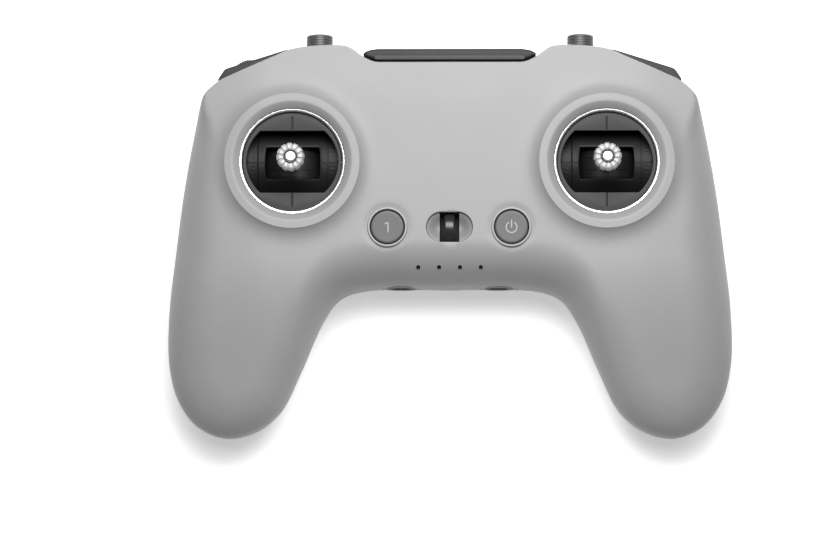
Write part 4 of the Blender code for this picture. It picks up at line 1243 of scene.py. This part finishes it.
def make_sleeves():
    """Sleeves in the bottom edge that hold the sticks when they are unscrewed."""
    bore = SLEEVE_DEEP - 1.4
    profile = [(0, -bore), (SLEEVE_BORE_R - 0.8, -bore), (SLEEVE_BORE_R, -bore + 0.8), (SLEEVE_BORE_R, -6.0),
               (SLEEVE_BORE_R, -0.8), (SLEEVE_BORE_R + 0.25, -0.15), (SLEEVE_BORE_R + 0.6, 0.0),
               (SLEEVE_R - 0.3, 0.0), (SLEEVE_R, -0.3), (SLEEVE_R, -SLEEVE_DEEP), (0, -SLEEVE_DEEP)]
    for side, label in SIDES:
        dress(lathe(f"storage_sleeve_{label}", profile, SHELL, swell=ribs), "casing", "rubber",
              f"stick_sleeve_{label}", at=(side * SLEEVE_X, -17.4, PART_Z), turn=turn_to((0, -1, 0)))


def shell_tool(rear):
    """Every cut in a shell apart from those that its surface already has."""
    tools = []
    for side, _ in SIDES:
        turn = stand_matrix(0) @ Matrix.Rotation(pi / 2, 4, "Z")
        tools.append(put(cutter(pill((0, 0), 14.4, 10.4, 20), -6.0, 6.0), (side * SWITCH_X, 64.0, SWITCH_Z),
                         turn))
        tools.append(cutter(trim_outline(side, GAP), TRIM_LOW - GAP, TRIM_HIGH + GAP))
        hole = lathe("sleeve_hole", [(0, 6), (SLEEVE_R + GAP, 6), (SLEEVE_R + GAP, -6), (0, -6)], SHELL, 64)
        tools.append(put(hole, (side * SLEEVE_X, -15.0, PART_Z), turn_to((0, 1, 0))))
        if rear:
            tools.append(cutter(capsule(*pad_ends(side), PAD_HALF_W + GAP), -2.0, PAD_TOP + GAP))
            for x, y in SCREW_SPOTS:
                hole = lathe("head_hole", [(0, 9), (2.9, 9), (2.9, -2), (0, -2)], SHELL, 40)
                tools.append(put(hole, (side * x, y, 0)))
    if rear:
        slot = cutter(pill((0, 0), PORT_L + 0.7, PORT_W + 0.7, 16), -6.0, 6.0)
        tools.append(put(slot, (0, -17.0, PORT_Z), stand_matrix(0)))
    return merge(tools)


# ---- stage, light and camera

PHOTO_W = 825
MM_PER_PIXEL = 0.3372
CAMERA_TARGET = Vector((0.0, 0.0, 0.024))
CAMERA_DISTANCE = 1.67
CAMERA_TILT = radians(5.5)
CAMERA_SWING = radians(0.6)
SHIFT_X = -0.0452
SHIFT_Y = -0.0470


CARRIED = (
    (BOARD, ("main_board", "hall_board_left", "hall_board_right",
             "antenna_board_left", "antenna_board_right")),
    (CELL, ("battery_cell_upper", "battery_cell_lower")),
    (BLACK, ("battery_tray", "gimbal_frame_left", "gimbal_frame_right",
             "switch_housing_left", "switch_housing_right")),
    (STEEL, ("power_dome", "custom_dome", "dial_axle")),
)


def dress_carried_nodes():
    """Gives each CAD node that is kept as it is a procedural material."""
    for surface, nodes in CARRIED:
        for node in nodes:
            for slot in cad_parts[node].material_slots:
                slot.material = surface


def make_camera():
    data = bpy.data.cameras.new("camera")
    camera = new_object("camera", data)
    camera.rotation_euler = (CAMERA_TILT, CAMERA_SWING, 0.0)
    away = camera.rotation_euler.to_matrix() @ Vector((0, 0, 1))
    camera.location = CAMERA_TARGET + away * CAMERA_DISTANCE
    data.sensor_width = 36.0
    data.lens = data.sensor_width * CAMERA_DISTANCE / (PHOTO_W * MM_PER_PIXEL * MM)
    data.shift_x = SHIFT_X
    data.shift_y = SHIFT_Y
    data.clip_end = 10.0
    bpy.context.scene.camera = camera


def area_light(name, place, size, power):
    """A rectangular lamp that faces the middle of the floor."""
    data = bpy.data.lights.new(name, "AREA")
    data.shape = "RECTANGLE"
    data.size, data.size_y = size
    data.energy = power
    lamp = new_object(name, data)
    lamp.location = place
    lamp.rotation_euler = (-Vector(place)).to_track_quat("-Z", "Y").to_euler()


def make_stage():
    """A pale floor that glows a little, two soft lamps and a dim white sky."""
    bm = bmesh.new()
    bmesh.ops.create_grid(bm, x_segments=1, y_segments=1, size=3.0)
    paper = plastic("floor_paper", 0.88, 0.9, mottle=0.004)
    glow = {"Emission Color": (1, 1, 1, 1), "Emission Strength": 0.42}
    feed(paper.node_tree, paper.node_tree.nodes["Principled BSDF"], glow)
    floor = finish_object("floor", bm, paper)
    floor.location = (0, 0, -0.0002)
    area_light("overhead", (0.08, 0.5, 1.7), (1.3, 0.9), 20)
    area_light("near", (0.02, 0.17, 0.4), (0.3, 0.22), 1.65)
    world = bpy.data.worlds.new("studio")
    world.use_nodes = True
    feed(world.node_tree, world.node_tree.nodes["Background"], {"Color": (1, 1, 1, 1), "Strength": 0.07})
    bpy.context.scene.world = world
    bpy.context.scene.view_settings.view_transform = "Standard"


make_stage()
make_camera()
dress(make_front_shell(), "casing", "shell", "front_shell")
dress(make_back_shell(), "casing", "shell", "back_shell")
for side, label in SIDES:
    place, pivot = (side * GIMBAL_X, GIMBAL_Y, 0), Vector((side * GIMBAL_X, GIMBAL_Y, PIVOT_Z))
    make_trim_ring(place, label)
    make_cover(place, label)
    make_pitch_yoke(pivot, label)
    make_roll_yoke(pivot, label)
    make_post(place, label)
    make_crown(place, label)
    make_switch(side, label)
make_front_keys()
make_recess()
make_lights()
make_antenna_cover()
make_shoulders()
make_pads()
make_screws()
make_port()
make_sleeves()
dress_carried_nodes()
